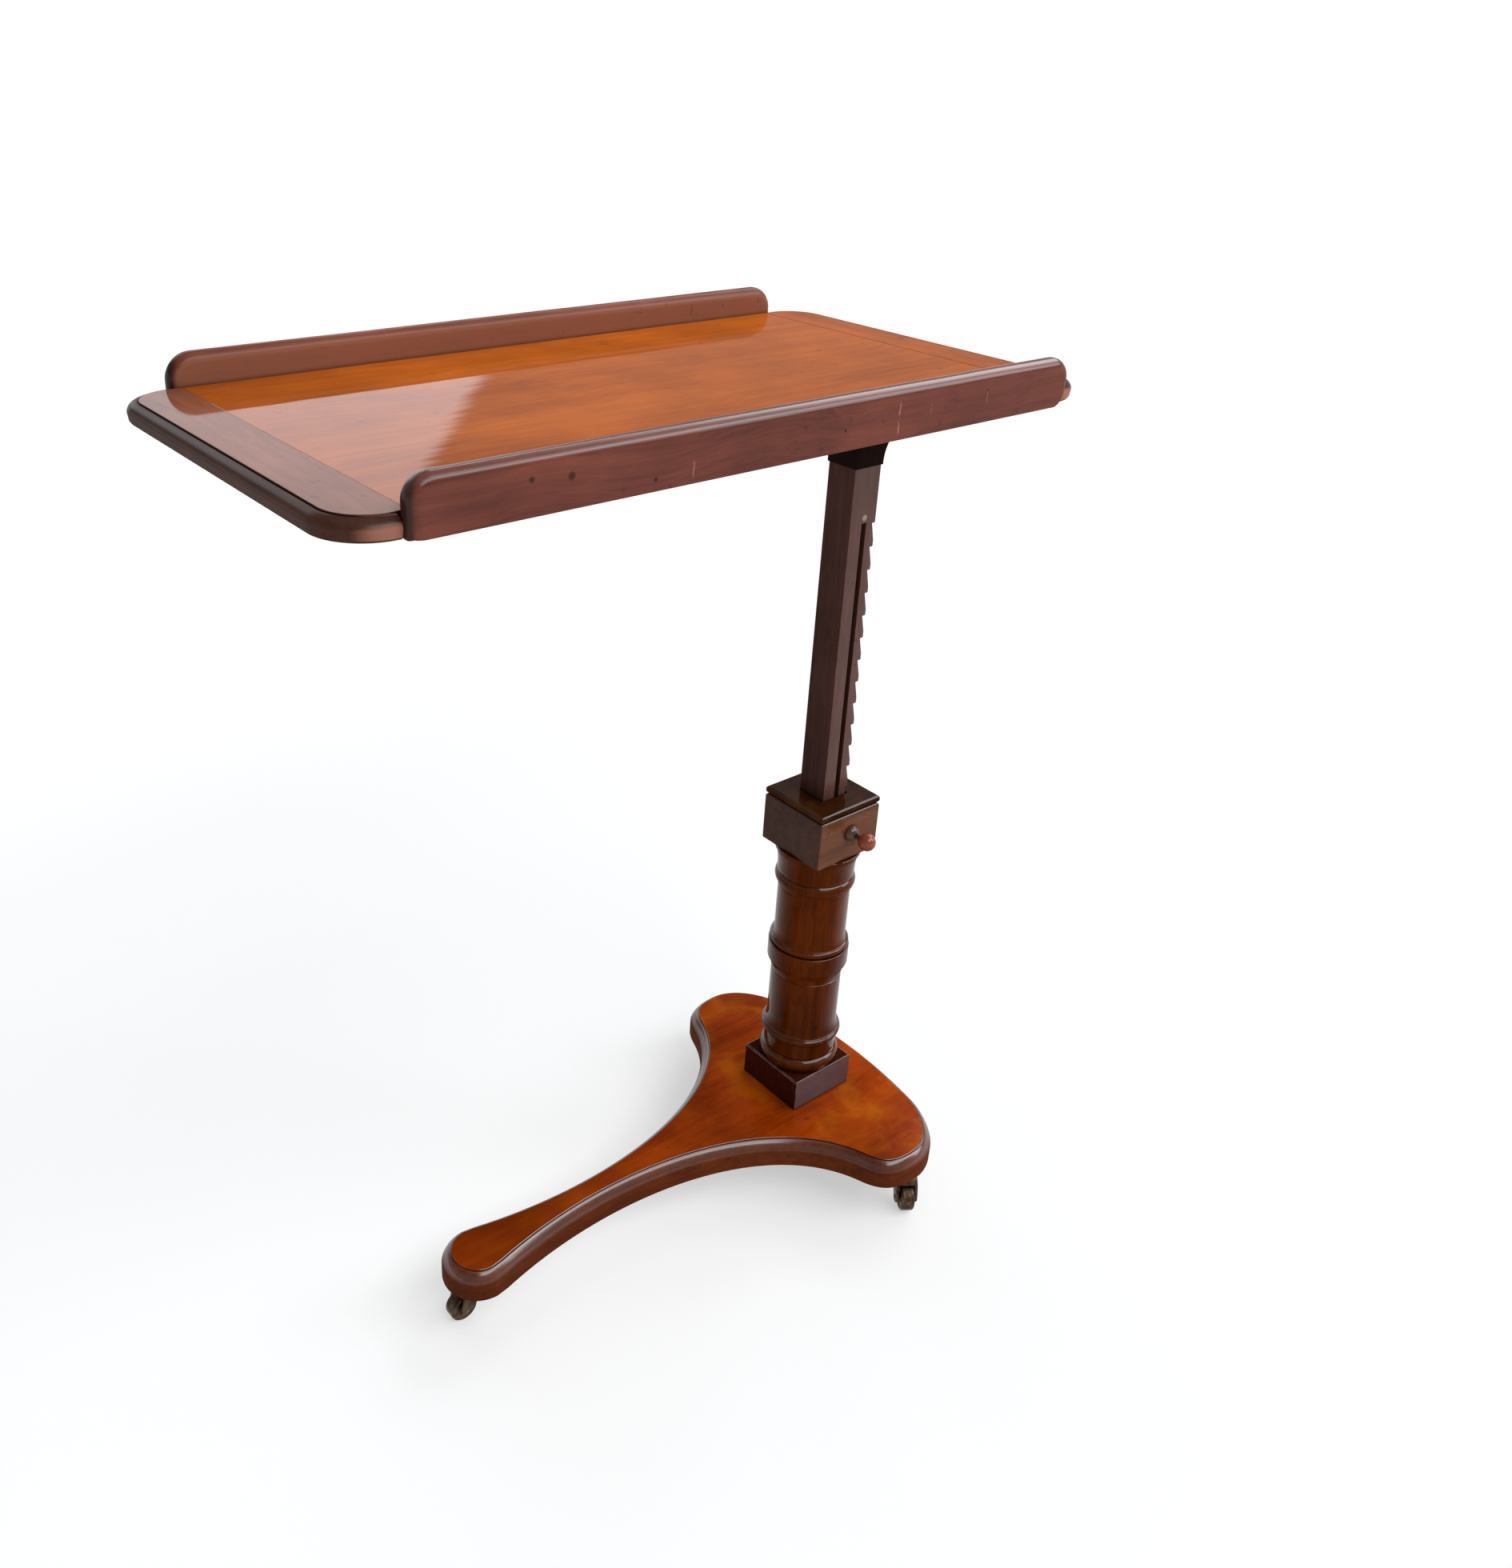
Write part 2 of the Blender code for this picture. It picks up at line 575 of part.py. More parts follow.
def make_capital():
    """Square block whose lower end is a hollow moulding down to the post."""
    rim = POST_SIZE + 2 * SLIDE_CLEARANCE + 2 * CAPITAL_LIP
    run = (CAPITAL_SIZE - rim) / 2
    bm = bmesh.new()
    loops = [square_ring(rim, CAPITAL_FOOT, COLUMN_X)]
    for i in range(1, 8):
        angle = math.radians(90 * i / 7)
        size = rim + 2 * run * (1 - math.cos(angle))
        loops.append(square_ring(size, CAPITAL_FOOT + CAPITAL_COVE * math.sin(angle), COLUMN_X))
    loops.append(square_ring(CAPITAL_SIZE, CAPITAL_TOP, COLUMN_X))
    add_loft(bm, loops)
    item = finish(bm, "post_capital", DARK_WOOD)
    half = POST_HALF + GAP

    def socket(cutter):
        low = (COLUMN_X - half, -half, CAPITAL_FOOT - CAPITAL_LIP)
        add_box(cutter, low, (COLUMN_X + half, half, CAPITAL_FOOT + POST_SOCKET_DEPTH))

    cut(item, socket)
    cut(item, lambda cutter: add_post_peg(cutter, PIN_CLEARANCE, CAPITAL_SIZE + 4 * GAP))
    return cut(item, add_capital_screw_holes)


def add_post_peg(bm, clearance, length):
    """Round peg along Y through the capital and the post."""
    frame = facing_front(COLUMN_X, length / 2, CAPITAL_FOOT + POST_PEG_RISE)
    radius = POST_PEG_RADIUS + clearance
    add_turned(bm, [(radius, 0.0), (radius, length)], frame)


def make_peg():
    bm = bmesh.new()
    add_post_peg(bm, 0.0, CAPITAL_SIZE - 2 * GAP)
    return finish(bm, "post_peg", DARK_WOOD)


def make_numbered(name, places, add_one, look):
    """One object for each copy of a fastener, numbered from 1."""
    for number, place in enumerate(places, 1):
        bm = bmesh.new()
        add_one(bm, *place)
        finish(bm, f"{name}_{number}", look)


# Post


def make_post():
    """Square post. The rack is cut in its +X face and the guide groove in its -Y face."""
    right = POST_HALF
    deep = POST_HALF - RACK_DEPTH
    outline = [(-POST_HALF, POST_FOOT), (right, POST_FOOT)]
    for number in range(-RACK_BELOW, RACK_ABOVE + 1):
        shoulder = RACK_FIRST + number * RACK_PITCH
        foot = shoulder - RACK_SLOPE
        if foot > POST_FOOT:
            outline += [(right, foot), (deep, shoulder), (right, shoulder)]
    outline += [(right, POST_TOP), (-POST_HALF, POST_TOP)]
    bm = bmesh.new()
    add_loft(bm, [[(COLUMN_X + x, y, z) for x, z in outline] for y in (-POST_HALF, POST_HALF)])
    item = finish(bm, "post", DARK_WOOD)
    middle = COLUMN_X + KNOB_X

    def groove(cutter):
        low = (middle - GROOVE_WIDTH / 2, -POST_HALF - GROOVE_DEPTH, GROOVE_FOOT)
        add_box(cutter, low, (middle + GROOVE_WIDTH / 2, GROOVE_DEPTH - POST_HALF, GROOVE_TOP))

    cut(item, groove)
    return cut(item, lambda cutter: add_post_peg(cutter, PIN_CLEARANCE, POST_SIZE + CAPITAL_LIP))


# Collar, column and plinth


def add_post_hole(bm, low, high):
    """Square hole that the post slides in."""
    half = HOLE_SIZE / 2
    add_box(bm, (COLUMN_X - half, -half, low), (COLUMN_X + half, half, high))


def make_collar():
    chamfer = COLLAR_CHAMFER
    bm = bmesh.new()
    add_loft(bm, [
        square_ring(COLLAR_SIZE, COLLAR_FOOT, COLUMN_X),
        square_ring(COLLAR_SIZE, CAP_FOOT - GAP - chamfer, COLUMN_X),
        square_ring(COLLAR_SIZE - 2 * chamfer, CAP_FOOT - GAP, COLUMN_X),
    ])
    item = finish(bm, "collar_block", DARK_WOOD)
    margin = SPIGOT_LENGTH

    def bore(cutter):
        add_post_hole(cutter, COLLAR_FOOT - margin, COLLAR_TOP + margin)

    def seat(cutter):
        profile = [(SPIGOT_RADIUS + GAP, -margin), (SPIGOT_RADIUS + GAP, SPIGOT_LENGTH)]
        add_turned(cutter, profile, upright(COLUMN_X, 0, COLLAR_FOOT), ROUND_STEPS)

    def pocket(cutter):
        low = (POCKET_LEFT, POCKET_FRONT, PLATE_FOOT - 2 * GAP)
        add_box(cutter, low, (POCKET_RIGHT, -POST_HALF + SLIDE_CLEARANCE, PLATE_TOP + 2 * GAP))

    def tooth_way(cutter):
        spare = 2 * GAP
        low = (TOOTH_LEFT - GAP, -POST_HALF - SLIDE_CLEARANCE, TOOTH_FOOT - spare)
        add_box(cutter, low, (TOOTH_RIGHT + spare, TOOTH_REACH + spare - POST_HALF, TOOTH_TOP + spare))

    def boss_hole(cutter):
        radius = BOSS_SPIGOT_RADIUS + PIN_CLEARANCE
        depth = BOSS_SPIGOT_LENGTH + PIN_CLEARANCE
        add_turned(cutter, [(radius, -depth), (radius, depth)], knob_frame())

    def stem_hole(cutter):
        radius = STEM_RADIUS + PIN_CLEARANCE
        add_turned(cutter, [(radius, -COLLAR_FACE), (radius, BOSS_HEIGHT)], knob_frame())

    for opening in (bore, seat, pocket, tooth_way, boss_hole, stem_hole):
        cut(item, opening)
    return item


def make_cap():
    bm = bmesh.new()
    loops = []
    for i in range(5):
        angle = math.radians(90 * i / 4)
        inset = CAP_ROUND * (1 - math.sin(angle))
        height = CAP_FOOT + CAP_ROUND * (1 - math.cos(angle))
        loops.append(square_ring(COLLAR_SIZE - 2 * inset, height, COLUMN_X))
    for i in range(5):
        angle = math.radians(90 * i / 4)
        inset = CAP_ROUND * (1 - math.cos(angle))
        height = COLLAR_TOP - CAP_ROUND * (1 - math.sin(angle))
        loops.append(square_ring(COLLAR_SIZE - 2 * inset, height, COLUMN_X))
    add_loft(bm, loops)
    item = finish(bm, "collar_cap", DARK_WOOD)
    low = CAP_FOOT - CAP_THICKNESS
    return cut(item, lambda cutter: add_post_hole(cutter, low, COLLAR_TOP + CAP_THICKNESS))


def column_profile():
    """Radius and height pairs of the turned column, from its foot to its top."""
    eased = RING_RADIUS - RING_EASE
    quirk = RING_RADIUS - 2 * RING_EASE
    pairs = [
        (SPIGOT_RADIUS, COLUMN_FOOT - SPIGOT_LENGTH),
        (SPIGOT_RADIUS, COLUMN_FOOT),
        (RING_RADIUS - TORUS_RADIUS / 2, COLUMN_FOOT),
    ]
    # Lower roll, a fillet, then the low ring
    pairs += arc((RING_RADIUS - TORUS_RADIUS, COLUMN_FOOT + TORUS_RISE), TORUS_RADIUS, -90, 90, 5)
    roll_top = COLUMN_FOOT + TORUS_RISE + TORUS_RADIUS
    low_ring = roll_top + FILLET_HEIGHT
    low_hollow = low_ring + LOW_RING_HEIGHT
    pairs += [
        (RING_RADIUS - FILLET_DEPTH, roll_top + RING_EASE),
        (RING_RADIUS - FILLET_DEPTH, low_ring),
        (eased, low_ring + LOW_RING_HEIGHT / 6),
        (RING_RADIUS, low_ring + LOW_RING_HEIGHT / 2),
        (eased, low_hollow - LOW_RING_HEIGHT / 6),
    ]
    pairs += hollow(quirk, low_hollow, DRUM_RADIUS, low_hollow + LOW_HOLLOW_HEIGHT)
    # Middle ring
    ring_top = MID_RING_FOOT + MID_RING_HEIGHT
    pairs += [
        (DRUM_RADIUS, MID_RING_FOOT - MID_SWELL_HEIGHT),
        (DRUM_RADIUS + 3 * RING_EASE, MID_RING_FOOT - MID_SWELL_HEIGHT / 3),
        (eased, MID_RING_FOOT),
        (RING_RADIUS, MID_RING_FOOT + 2 * RING_EASE),
        (RING_RADIUS, ring_top),
        (eased, ring_top + 2 * RING_EASE),
    ]
    roll_radius = RING_RADIUS - BEAD_INSET - MID_BEAD_RADIUS
    roll_level = ring_top + 3 * RING_EASE + MID_BEAD_RADIUS
    pairs += arc((roll_radius, roll_level), MID_BEAD_RADIUS, -75, 45, 4)
    roll_end = roll_level + MID_BEAD_RADIUS
    pairs += hollow(roll_radius + RING_EASE, roll_end, DRUM_RADIUS, ring_top + MID_HOLLOW_HEIGHT)
    # Upper roll and the hollow neck under the collar
    pairs.append((DRUM_RADIUS, BEAD_LEVEL - BEAD_RADIUS - 4 * RING_EASE))
    pairs += arc((RING_RADIUS - BEAD_INSET - BEAD_RADIUS, BEAD_LEVEL), BEAD_RADIUS, -80, 50, 5)
    neck = BEAD_LEVEL + BEAD_RADIUS
    flare = NECK_RADIUS - DRUM_RADIUS - NECK_SWELL
    for i in range(5):
        angle = math.radians(90 * i / 4)
        height = neck + (COLUMN_TOP - NECK_BAND - neck) * math.sin(angle)
        pairs.append((NECK_RADIUS - flare * math.cos(angle), height))
    pairs += [(NECK_RADIUS, COLUMN_TOP), (SPIGOT_RADIUS, COLUMN_TOP)]
    return pairs + [(SPIGOT_RADIUS, COLUMN_TOP + SPIGOT_LENGTH)]


def hollow(radius_low, low, radius_high, high):
    """A hollow curve that runs from a wide ring up to a narrower drum."""
    pairs = []
    for i in range(5):
        angle = math.radians(90 * i / 4)
        radius = radius_high + (radius_low - radius_high) * (1 - math.sin(angle))
        pairs.append((radius, high - (high - low) * math.cos(angle)))
    return pairs


def make_column():
    bm = bmesh.new()
    add_turned(bm, column_profile(), upright(COLUMN_X, 0, 0), ROUND_STEPS)
    item = finish(bm, "column", COLUMN_WOOD)
    low = COLUMN_FOOT - 2 * SPIGOT_LENGTH
    return cut(item, lambda cutter: add_post_hole(cutter, low, COLUMN_TOP + 2 * SPIGOT_LENGTH))


def add_base_screw(bm, x, y, clearance=0.0):
    """A screw from below, through the base and up into the plinth."""
    profile = screw_profile(WOOD_SCREW, BASE_THICKNESS + BASE_SCREW_BITE, clearance)
    add_turned(bm, profile, upright(x, y, BASE_FOOT + 2 * GAP), SCREW_STEPS)


def add_base_screw_holes(bm):
    for x, y in corner_places(BASE_SCREW_OFFSET, BASE_SCREW_OFFSET):
        add_base_screw(bm, x, y, PIN_CLEARANCE)


def make_plinth():
    chamfer = PLINTH_CHAMFER
    bm = bmesh.new()
    add_loft(bm, [
        square_ring(PLINTH_SIZE, PLINTH_FOOT, COLUMN_X),
        square_ring(PLINTH_SIZE, PLINTH_TOP - chamfer, COLUMN_X),
        square_ring(PLINTH_SIZE - 2 * chamfer, PLINTH_TOP, COLUMN_X),
    ])
    item = finish(bm, "plinth", DARK_WOOD)

    def seat(cutter):
        depth = SPIGOT_LENGTH + GAP
        profile = [(SPIGOT_RADIUS + GAP, -depth), (SPIGOT_RADIUS + GAP, depth)]
        add_turned(cutter, profile, upright(COLUMN_X, 0, PLINTH_TOP), ROUND_STEPS)

    cut(item, lambda cutter: add_post_hole(cutter, PLINTH_FOOT - PLINTH_HEIGHT, PLINTH_TOP + PLINTH_HEIGHT))
    cut(item, seat)
    return cut(item, add_base_screw_holes)


# Base platform


def base_half_outline():
    """Half of the outline on the +Y side, from the back edge round to the end of the long foot."""
    pull = BASE_CURVE
    tip = (BASE_LOBE_X, BASE_LOBE_SPAN / 2)
    shoulder = (tip[0] + BASE_SHOULDER[0], tip[1] - BASE_SHOULDER[1])
    hip = (tip[0] - BASE_HIP[0], tip[1] - BASE_HIP[1])
    foot = (BASE_FOOT_RADIUS - BASE_FOOT_REACH, BASE_FOOT_RADIUS)
    back_edge = [
        (BASE_BACK, 0.0), (BASE_BACK, pull), (BASE_BACK - 0.1 * pull, shoulder[1] - 0.95 * pull), shoulder,
    ]
    lobe_back = [shoulder, (shoulder[0] - 0.15 * pull, tip[1] - 1.05 * pull), (tip[0] + pull, tip[1]), tip]
    lobe_front = [tip, (tip[0] - 0.75 * pull, tip[1]), (hip[0] + 0.25 * pull, hip[1] + 0.725 * pull), hip]
    hollow_side = [
        hip, (hip[0] - 1.05 * pull, BASE_WAIST), (foot[0] + BASE_FOOT_PULL, -BASE_FOOT_DIP),
        (foot[0] + 0.15 * pull, foot[1]),
    ]
    points = bezier(*back_edge, 4) + bezier(*lobe_back, 6)
    points += bezier(*lobe_front, 5) + bezier(*hollow_side, 13)
    return points + arc((foot[0], 0.0), BASE_FOOT_RADIUS, 90, 180, 6)


def inset_outline(points, inset):
    """Move each point of a closed outline inwards, along the mean of its two edges' normals."""
    moved = []
    count = len(points)
    for i, (x, y) in enumerate(points):
        before = Vector(points[i - 1])
        after = Vector(points[(i + 1) % count])
        along = (after - before).normalized()
        moved.append((x - along.y * inset, y + along.x * inset))
    return moved


def add_castor_holes(bm):
    for place in CASTOR_PLACES:
        frame = castor_frame(place)
        radius = PINTLE_RADIUS + 2 * PIN_CLEARANCE
        top = FORK_TOP + PINTLE_LENGTH + 2 * GAP
        add_turned(bm, [(radius, CASTOR_PLATE_FOOT), (radius, top)], frame)
        add_castor_screw_holes(bm, frame)


def make_base():
    half = base_half_outline()
    outline = half + [(x, -y) for x, y in reversed(half[1:-1])]
    side = BASE_THICKNESS - BASE_EDGE_STEP
    levels = [(BASE_FOOT_CHAMFER, 0.0), (0.0, BASE_FOOT_CHAMFER)]
    for i in range(4):
        angle = math.radians(90 * i / 3)
        inset = BASE_EDGE_ROUND * (1 - math.cos(angle))
        levels.append((inset, side - BASE_EDGE_ROUND * (1 - math.sin(angle))))
    levels.append((BASE_EDGE_ROUND, BASE_THICKNESS))
    bm = bmesh.new()
    loops = []
    for inset, height in levels:
        loops.append([(COLUMN_X + x, y, BASE_FOOT + height) for x, y in inset_outline(outline, inset)])
    add_loft(bm, loops)
    item = finish(bm, "base_platform", BASE_WOOD)
    cut(item, add_base_screw_holes)
    return cut(item, add_castor_holes)


# Catch


def knob_frame():
    """A frame on the knob's axis at the collar's front face, with its Z axis out of that face."""
    return facing_front(COLUMN_X + KNOB_X, -COLLAR_FACE, CATCH_HEIGHT)


def make_boss():
    bore = STEM_RADIUS + PIN_CLEARANCE
    spigot = BOSS_SPIGOT_RADIUS
    profile = [(bore, -BOSS_SPIGOT_LENGTH), (spigot, -BOSS_SPIGOT_LENGTH), (spigot, GAP)]
    start = math.asin(bore / BOSS_RADIUS)
    for i in range(6):
        angle = math.pi / 2 - (math.pi / 2 - start) * i / 5
        profile.append((BOSS_RADIUS * math.sin(angle), GAP + (BOSS_HEIGHT - GAP) * math.cos(angle)))
    bm = bmesh.new()
    add_turned(bm, profile, knob_frame(), KNOB_STEPS, closed=True)
    return finish(bm, "catch_boss", DARK_WOOD)


def make_knob():
    bore = STEM_RADIUS + PIN_CLEARANCE / 2
    neck_end = KNOB_CENTRE - KNOB_RADIUS
    profile = [(bore, neck_end + KNOB_SOCKET), (bore, neck_end), (KNOB_NECK_RADIUS, neck_end)]
    first = math.asin(KNOB_NECK_RADIUS / KNOB_RADIUS)
    last = math.radians(172)
    for i in range(1, 10):
        angle = first + (last - first) * i / 9
        profile.append((KNOB_RADIUS * math.sin(angle), KNOB_CENTRE - KNOB_RADIUS * math.cos(angle)))
    bm = bmesh.new()
    add_turned(bm, profile, knob_frame(), KNOB_STEPS)
    return finish(bm, "catch_knob", KNOB_WOOD)


def make_stem():
    outer = KNOB_CENTRE - KNOB_RADIUS + KNOB_SOCKET - 2 * GAP
    inner = POST_HALF - COLLAR_FACE - TAIL_REACH + CATCH_TRAVEL
    bm = bmesh.new()
    add_turned(bm, [(STEM_RADIUS, inner), (STEM_RADIUS, outer)], knob_frame())
    return finish(bm, "catch_stem", IRON)


def make_plate():
    """Iron plate on the stem. Its tooth fits under the shoulders of the rack, clear of their slopes."""
    bm = bmesh.new()
    add_box(bm, (PLATE_LEFT, PLATE_FRONT, PLATE_FOOT), (PLATE_RIGHT, PLATE_BACK, PLATE_TOP))
    item = finish(bm, "catch_plate", IRON)

    def tooth(extra):
        tip = TOOTH_REACH - CATCH_TRAVEL - POST_HALF
        root = (PLATE_BACK + PLATE_FRONT) / 2
        lean = TOOTH_HEIGHT * RACK_DEPTH / RACK_SLOPE
        outline = [
            (TOOTH_LEFT + lean, TOOTH_FOOT), (TOOTH_RIGHT, TOOTH_FOOT),
            (TOOTH_RIGHT, TOOTH_TOP), (TOOTH_LEFT, TOOTH_TOP),
        ]
        add_loft(extra, [[(x, y, z) for x, z in outline] for y in (root, tip)])

    def stem_hole(cutter):
        radius = STEM_RADIUS + PIN_CLEARANCE / 2
        add_turned(cutter, [(radius, -COLLAR_FACE), (radius, 0.0)], knob_frame())

    join(item, tooth)
    return cut(item, stem_hole)


def make_spring():
    """Bowed leaf between the collar's front wall and the plate."""
    wall = POCKET_FRONT + GAP
    bow = PLATE_FRONT - GAP - wall - SPRING_THICKNESS
    left = POCKET_LEFT + 4 * GAP
    right = POCKET_RIGHT - 4 * GAP
    low = CATCH_HEIGHT - PLATE_RISE + GAP
    high = PLATE_TOP - GAP
    steps = 12
    loops = []
    for i in range(steps + 1):
        x = left + (right - left) * i / steps
        front = wall + bow * math.sin(math.pi * i / steps)
        back = front + SPRING_THICKNESS
        loops.append([(x, front, low), (x, back, low), (x, back, high), (x, front, high)])
    bm = bmesh.new()
    add_loft(bm, loops)
    item = finish(bm, "catch_spring", IRON)

    def stem_hole(cutter):
        radius = STEM_RADIUS + 2 * PIN_CLEARANCE
        add_turned(cutter, [(radius, -COLLAR_FACE), (radius, 0.0)], knob_frame())

    return cut(item, stem_hole)


# Castors


def castor_frame(place):
    """A frame on the floor under a castor's pintle. Its X axis points to where the wheel trails."""
    x, y = CASTOR_PLACES[place]
    heading = math.radians(CASTOR_HEADINGS[place])
    return Matrix.Translation((COLUMN_X + x, y, 0.0)) @ Matrix.Rotation(heading, 4, "Z")


def castor_screw_frames(frame):
    """Frames of the three screws that hold a castor's plate."""
    frames = []
    for i in range(CASTOR_SCREW_COUNT):
        turn = Matrix.Rotation(2 * math.pi * i / CASTOR_SCREW_COUNT, 4, "Z")
        place = Matrix.Translation((CASTOR_SCREW_CIRCLE, 0.0, CASTOR_PLATE_FOOT + GAP))
        frames.append(frame @ turn @ place)
    return frames


def add_castor_screw(bm, frame, clearance=0.0):
    length = CASTOR_PLATE_THICKNESS + CASTOR_SCREW_BITE
    add_turned(bm, screw_profile(CASTOR_SCREW, length, clearance), frame, SCREW_STEPS)


def add_castor_screw_holes(bm, frame):
    for place in castor_screw_frames(frame):
        add_castor_screw(bm, place, PIN_CLEARANCE)


def make_castor_plate(name, frame):
    inner = PINTLE_RADIUS + PIN_CLEARANCE
    top = CASTOR_PLATE_FOOT + CASTOR_PLATE_THICKNESS
    edge = CASTOR_PLATE_THICKNESS * 0.3
    bm = bmesh.new()
    add_turned(bm, [
        (inner, CASTOR_PLATE_FOOT), (CASTOR_PLATE_RADIUS - edge, CASTOR_PLATE_FOOT),
        (CASTOR_PLATE_RADIUS, CASTOR_PLATE_FOOT + edge), (CASTOR_PLATE_RADIUS, top), (inner, top),
    ], frame, KNOB_STEPS, closed=True)
    item = finish(bm, name, BRONZE)
    return cut(item, lambda cutter: add_castor_screw_holes(cutter, frame))


def fork_outline():
    """Side view of the fork: a crown under the pintle, and cheeks that trail to the axle."""
    eye_x = CASTOR_TRAIL
    eye_z = WHEEL_RADIUS
    front = (eye_x - FORK_EYE_RADIUS, eye_z)
    rear = (eye_x + FORK_EYE_RADIUS, eye_z)
    left = (-FORK_CROWN_RADIUS, FORK_TOP - FORK_CROWN_HEIGHT)
    right = (FORK_CROWN_RADIUS, FORK_TOP)
    low_pull = (front[0] - FORK_CURVE / 2, eye_z + FORK_CURVE)
    down = [left, (left[0], FORK_TOP - FORK_CURVE), low_pull, front]
    up = [rear, (rear[0], eye_z + FORK_CURVE), (eye_x, FORK_TOP - FORK_CROWN_HEIGHT / 4), right]
    points = [(-FORK_CROWN_RADIUS, FORK_TOP)] + bezier(*down, 6)
    return points + arc((eye_x, eye_z), FORK_EYE_RADIUS, 180, 360, 10) + bezier(*up, 8)[1:] + [right]


def make_fork(name, frame):
    half = WHEEL_WIDTH / 2 + WHEEL_SIDE_GAP
    outer = half + FORK_CHEEK
    bm = bmesh.new()
    add_loft(bm, [[frame @ Vector((x, y, z)) for x, z in fork_outline()] for y in (-outer, outer)])
    item = finish(bm, name, BRONZE)

    def wheel_slot(cutter):
        far = CASTOR_TRAIL + WHEEL_RADIUS
        slot_top = 2 * WHEEL_RADIUS + WHEEL_TOP_GAP
        corners = [(-far, -half), (2 * far, -half), (2 * far, half), (-far, half)]
        loops = []
        for z in (-WHEEL_RADIUS, slot_top):
            loops.append([frame @ Vector((x, y, z)) for x, y in corners])
        add_loft(cutter, loops)

    def axle_hole(cutter):
        reach = outer + AXLE_STAND + GAP
        profile = [(AXLE_RADIUS + PIN_CLEARANCE / 2, -reach), (AXLE_RADIUS + PIN_CLEARANCE / 2, reach)]
        add_turned(cutter, profile, axle_frame(frame))

    def pintle(extra):
        top = FORK_TOP + PINTLE_LENGTH
        add_turned(extra, [
            (PINTLE_RADIUS, FORK_TOP - FORK_CROWN_HEIGHT / 2), (PINTLE_RADIUS, top - PINTLE_CHAMFER),
            (PINTLE_RADIUS - PINTLE_CHAMFER, top),
        ], frame)

    cut(item, wheel_slot)
    cut(item, axle_hole)
    return join(item, pintle)


def axle_frame(frame):
    """A frame on the wheel's axle, its Z axis along the axle."""
    place = Matrix.Translation((CASTOR_TRAIL, 0.0, WHEEL_RADIUS))
    return frame @ place @ Matrix.Rotation(math.pi / 2, 4, "X")


def make_axle(name, frame):
    half = WHEEL_WIDTH / 2 + WHEEL_SIDE_GAP + FORK_CHEEK + AXLE_STAND
    tip = AXLE_RADIUS * 0.7
    bm = bmesh.new()
    add_turned(bm, [
        (tip, -half), (AXLE_RADIUS, AXLE_STAND - half), (AXLE_RADIUS, half - AXLE_STAND), (tip, half),
    ], axle_frame(frame))
    return finish(bm, name, IRON)


def make_wheel(name, frame):
    bore = AXLE_RADIUS + PIN_CLEARANCE
    half = WHEEL_WIDTH / 2
    edge = WHEEL_EDGE
    mid = WHEEL_EDGE * 0.3
    bm = bmesh.new()
    add_turned(bm, [
        (bore, -half), (WHEEL_RADIUS - edge, -half), (WHEEL_RADIUS - mid, mid - half),
        (WHEEL_RADIUS, edge - half), (WHEEL_RADIUS, half - edge),
        (WHEEL_RADIUS - mid, half - mid), (WHEEL_RADIUS - edge, half), (bore, half),
    ], axle_frame(frame), WHEEL_STEPS, closed=True)
    return finish(bm, name, BRONZE)


def make_castors():
    for place in CASTOR_PLACES:
        frame = castor_frame(place)
        make_castor_plate(f"{place}_castor_plate", frame)
        screws = [(screw_frame,) for screw_frame in castor_screw_frames(frame)]
        make_numbered(f"{place}_castor_screw", screws, add_castor_screw, IRON)
        make_fork(f"{place}_castor_fork", frame)
        make_axle(f"{place}_castor_axle", frame)
        make_wheel(f"{place}_castor_wheel", frame)


def main():
    clear_scene()
    make_panel()
    make_cleat("left_cleat", -1)
    make_cleat("right_cleat", 1)
    make_ledge("front_ledge", -1, LEDGE_END_RADIUS)
    make_ledge("back_ledge", 1, 2 * LEDGE_FOOT_RADIUS)
    make_numbered("front_ledge_dowel", [(x, -1) for x in dowel_places()], add_ledge_dowel, PALE_WOOD)
    make_numbered("back_ledge_dowel", [(x, 1) for x in dowel_places()], add_ledge_dowel, PALE_WOOD)
    make_bearer()
    bearer_screws = corner_places(BEARER_SCREW_X, BEARER_SCREW_Y)
    make_numbered("bearer_screw", bearer_screws, add_bearer_screw, IRON)
    make_capital()
    capital_screws = corner_places(CAPITAL_SCREW_OFFSET, CAPITAL_SCREW_OFFSET)
    make_numbered("capital_screw", capital_screws, add_capital_screw, IRON)
    make_peg()
    make_post()
    make_collar()
    make_cap()
    make_column()
    make_plinth()
    make_base()
    base_screws = corner_places(BASE_SCREW_OFFSET, BASE_SCREW_OFFSET)
    make_numbered("base_screw", base_screws, add_base_screw, IRON)
    make_boss()
    make_knob()
    make_stem()
    make_plate()
    make_spring()
    make_castors()


main()
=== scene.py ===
"""Looks of a height-adjustable library table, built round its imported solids.

Units are metres, in the frame of the solids: +Z is up, the board runs along X and the knob faces -Y.
"""
import json
import math

import bmesh
import bpy
from mathutils import Matrix, Vector, noise

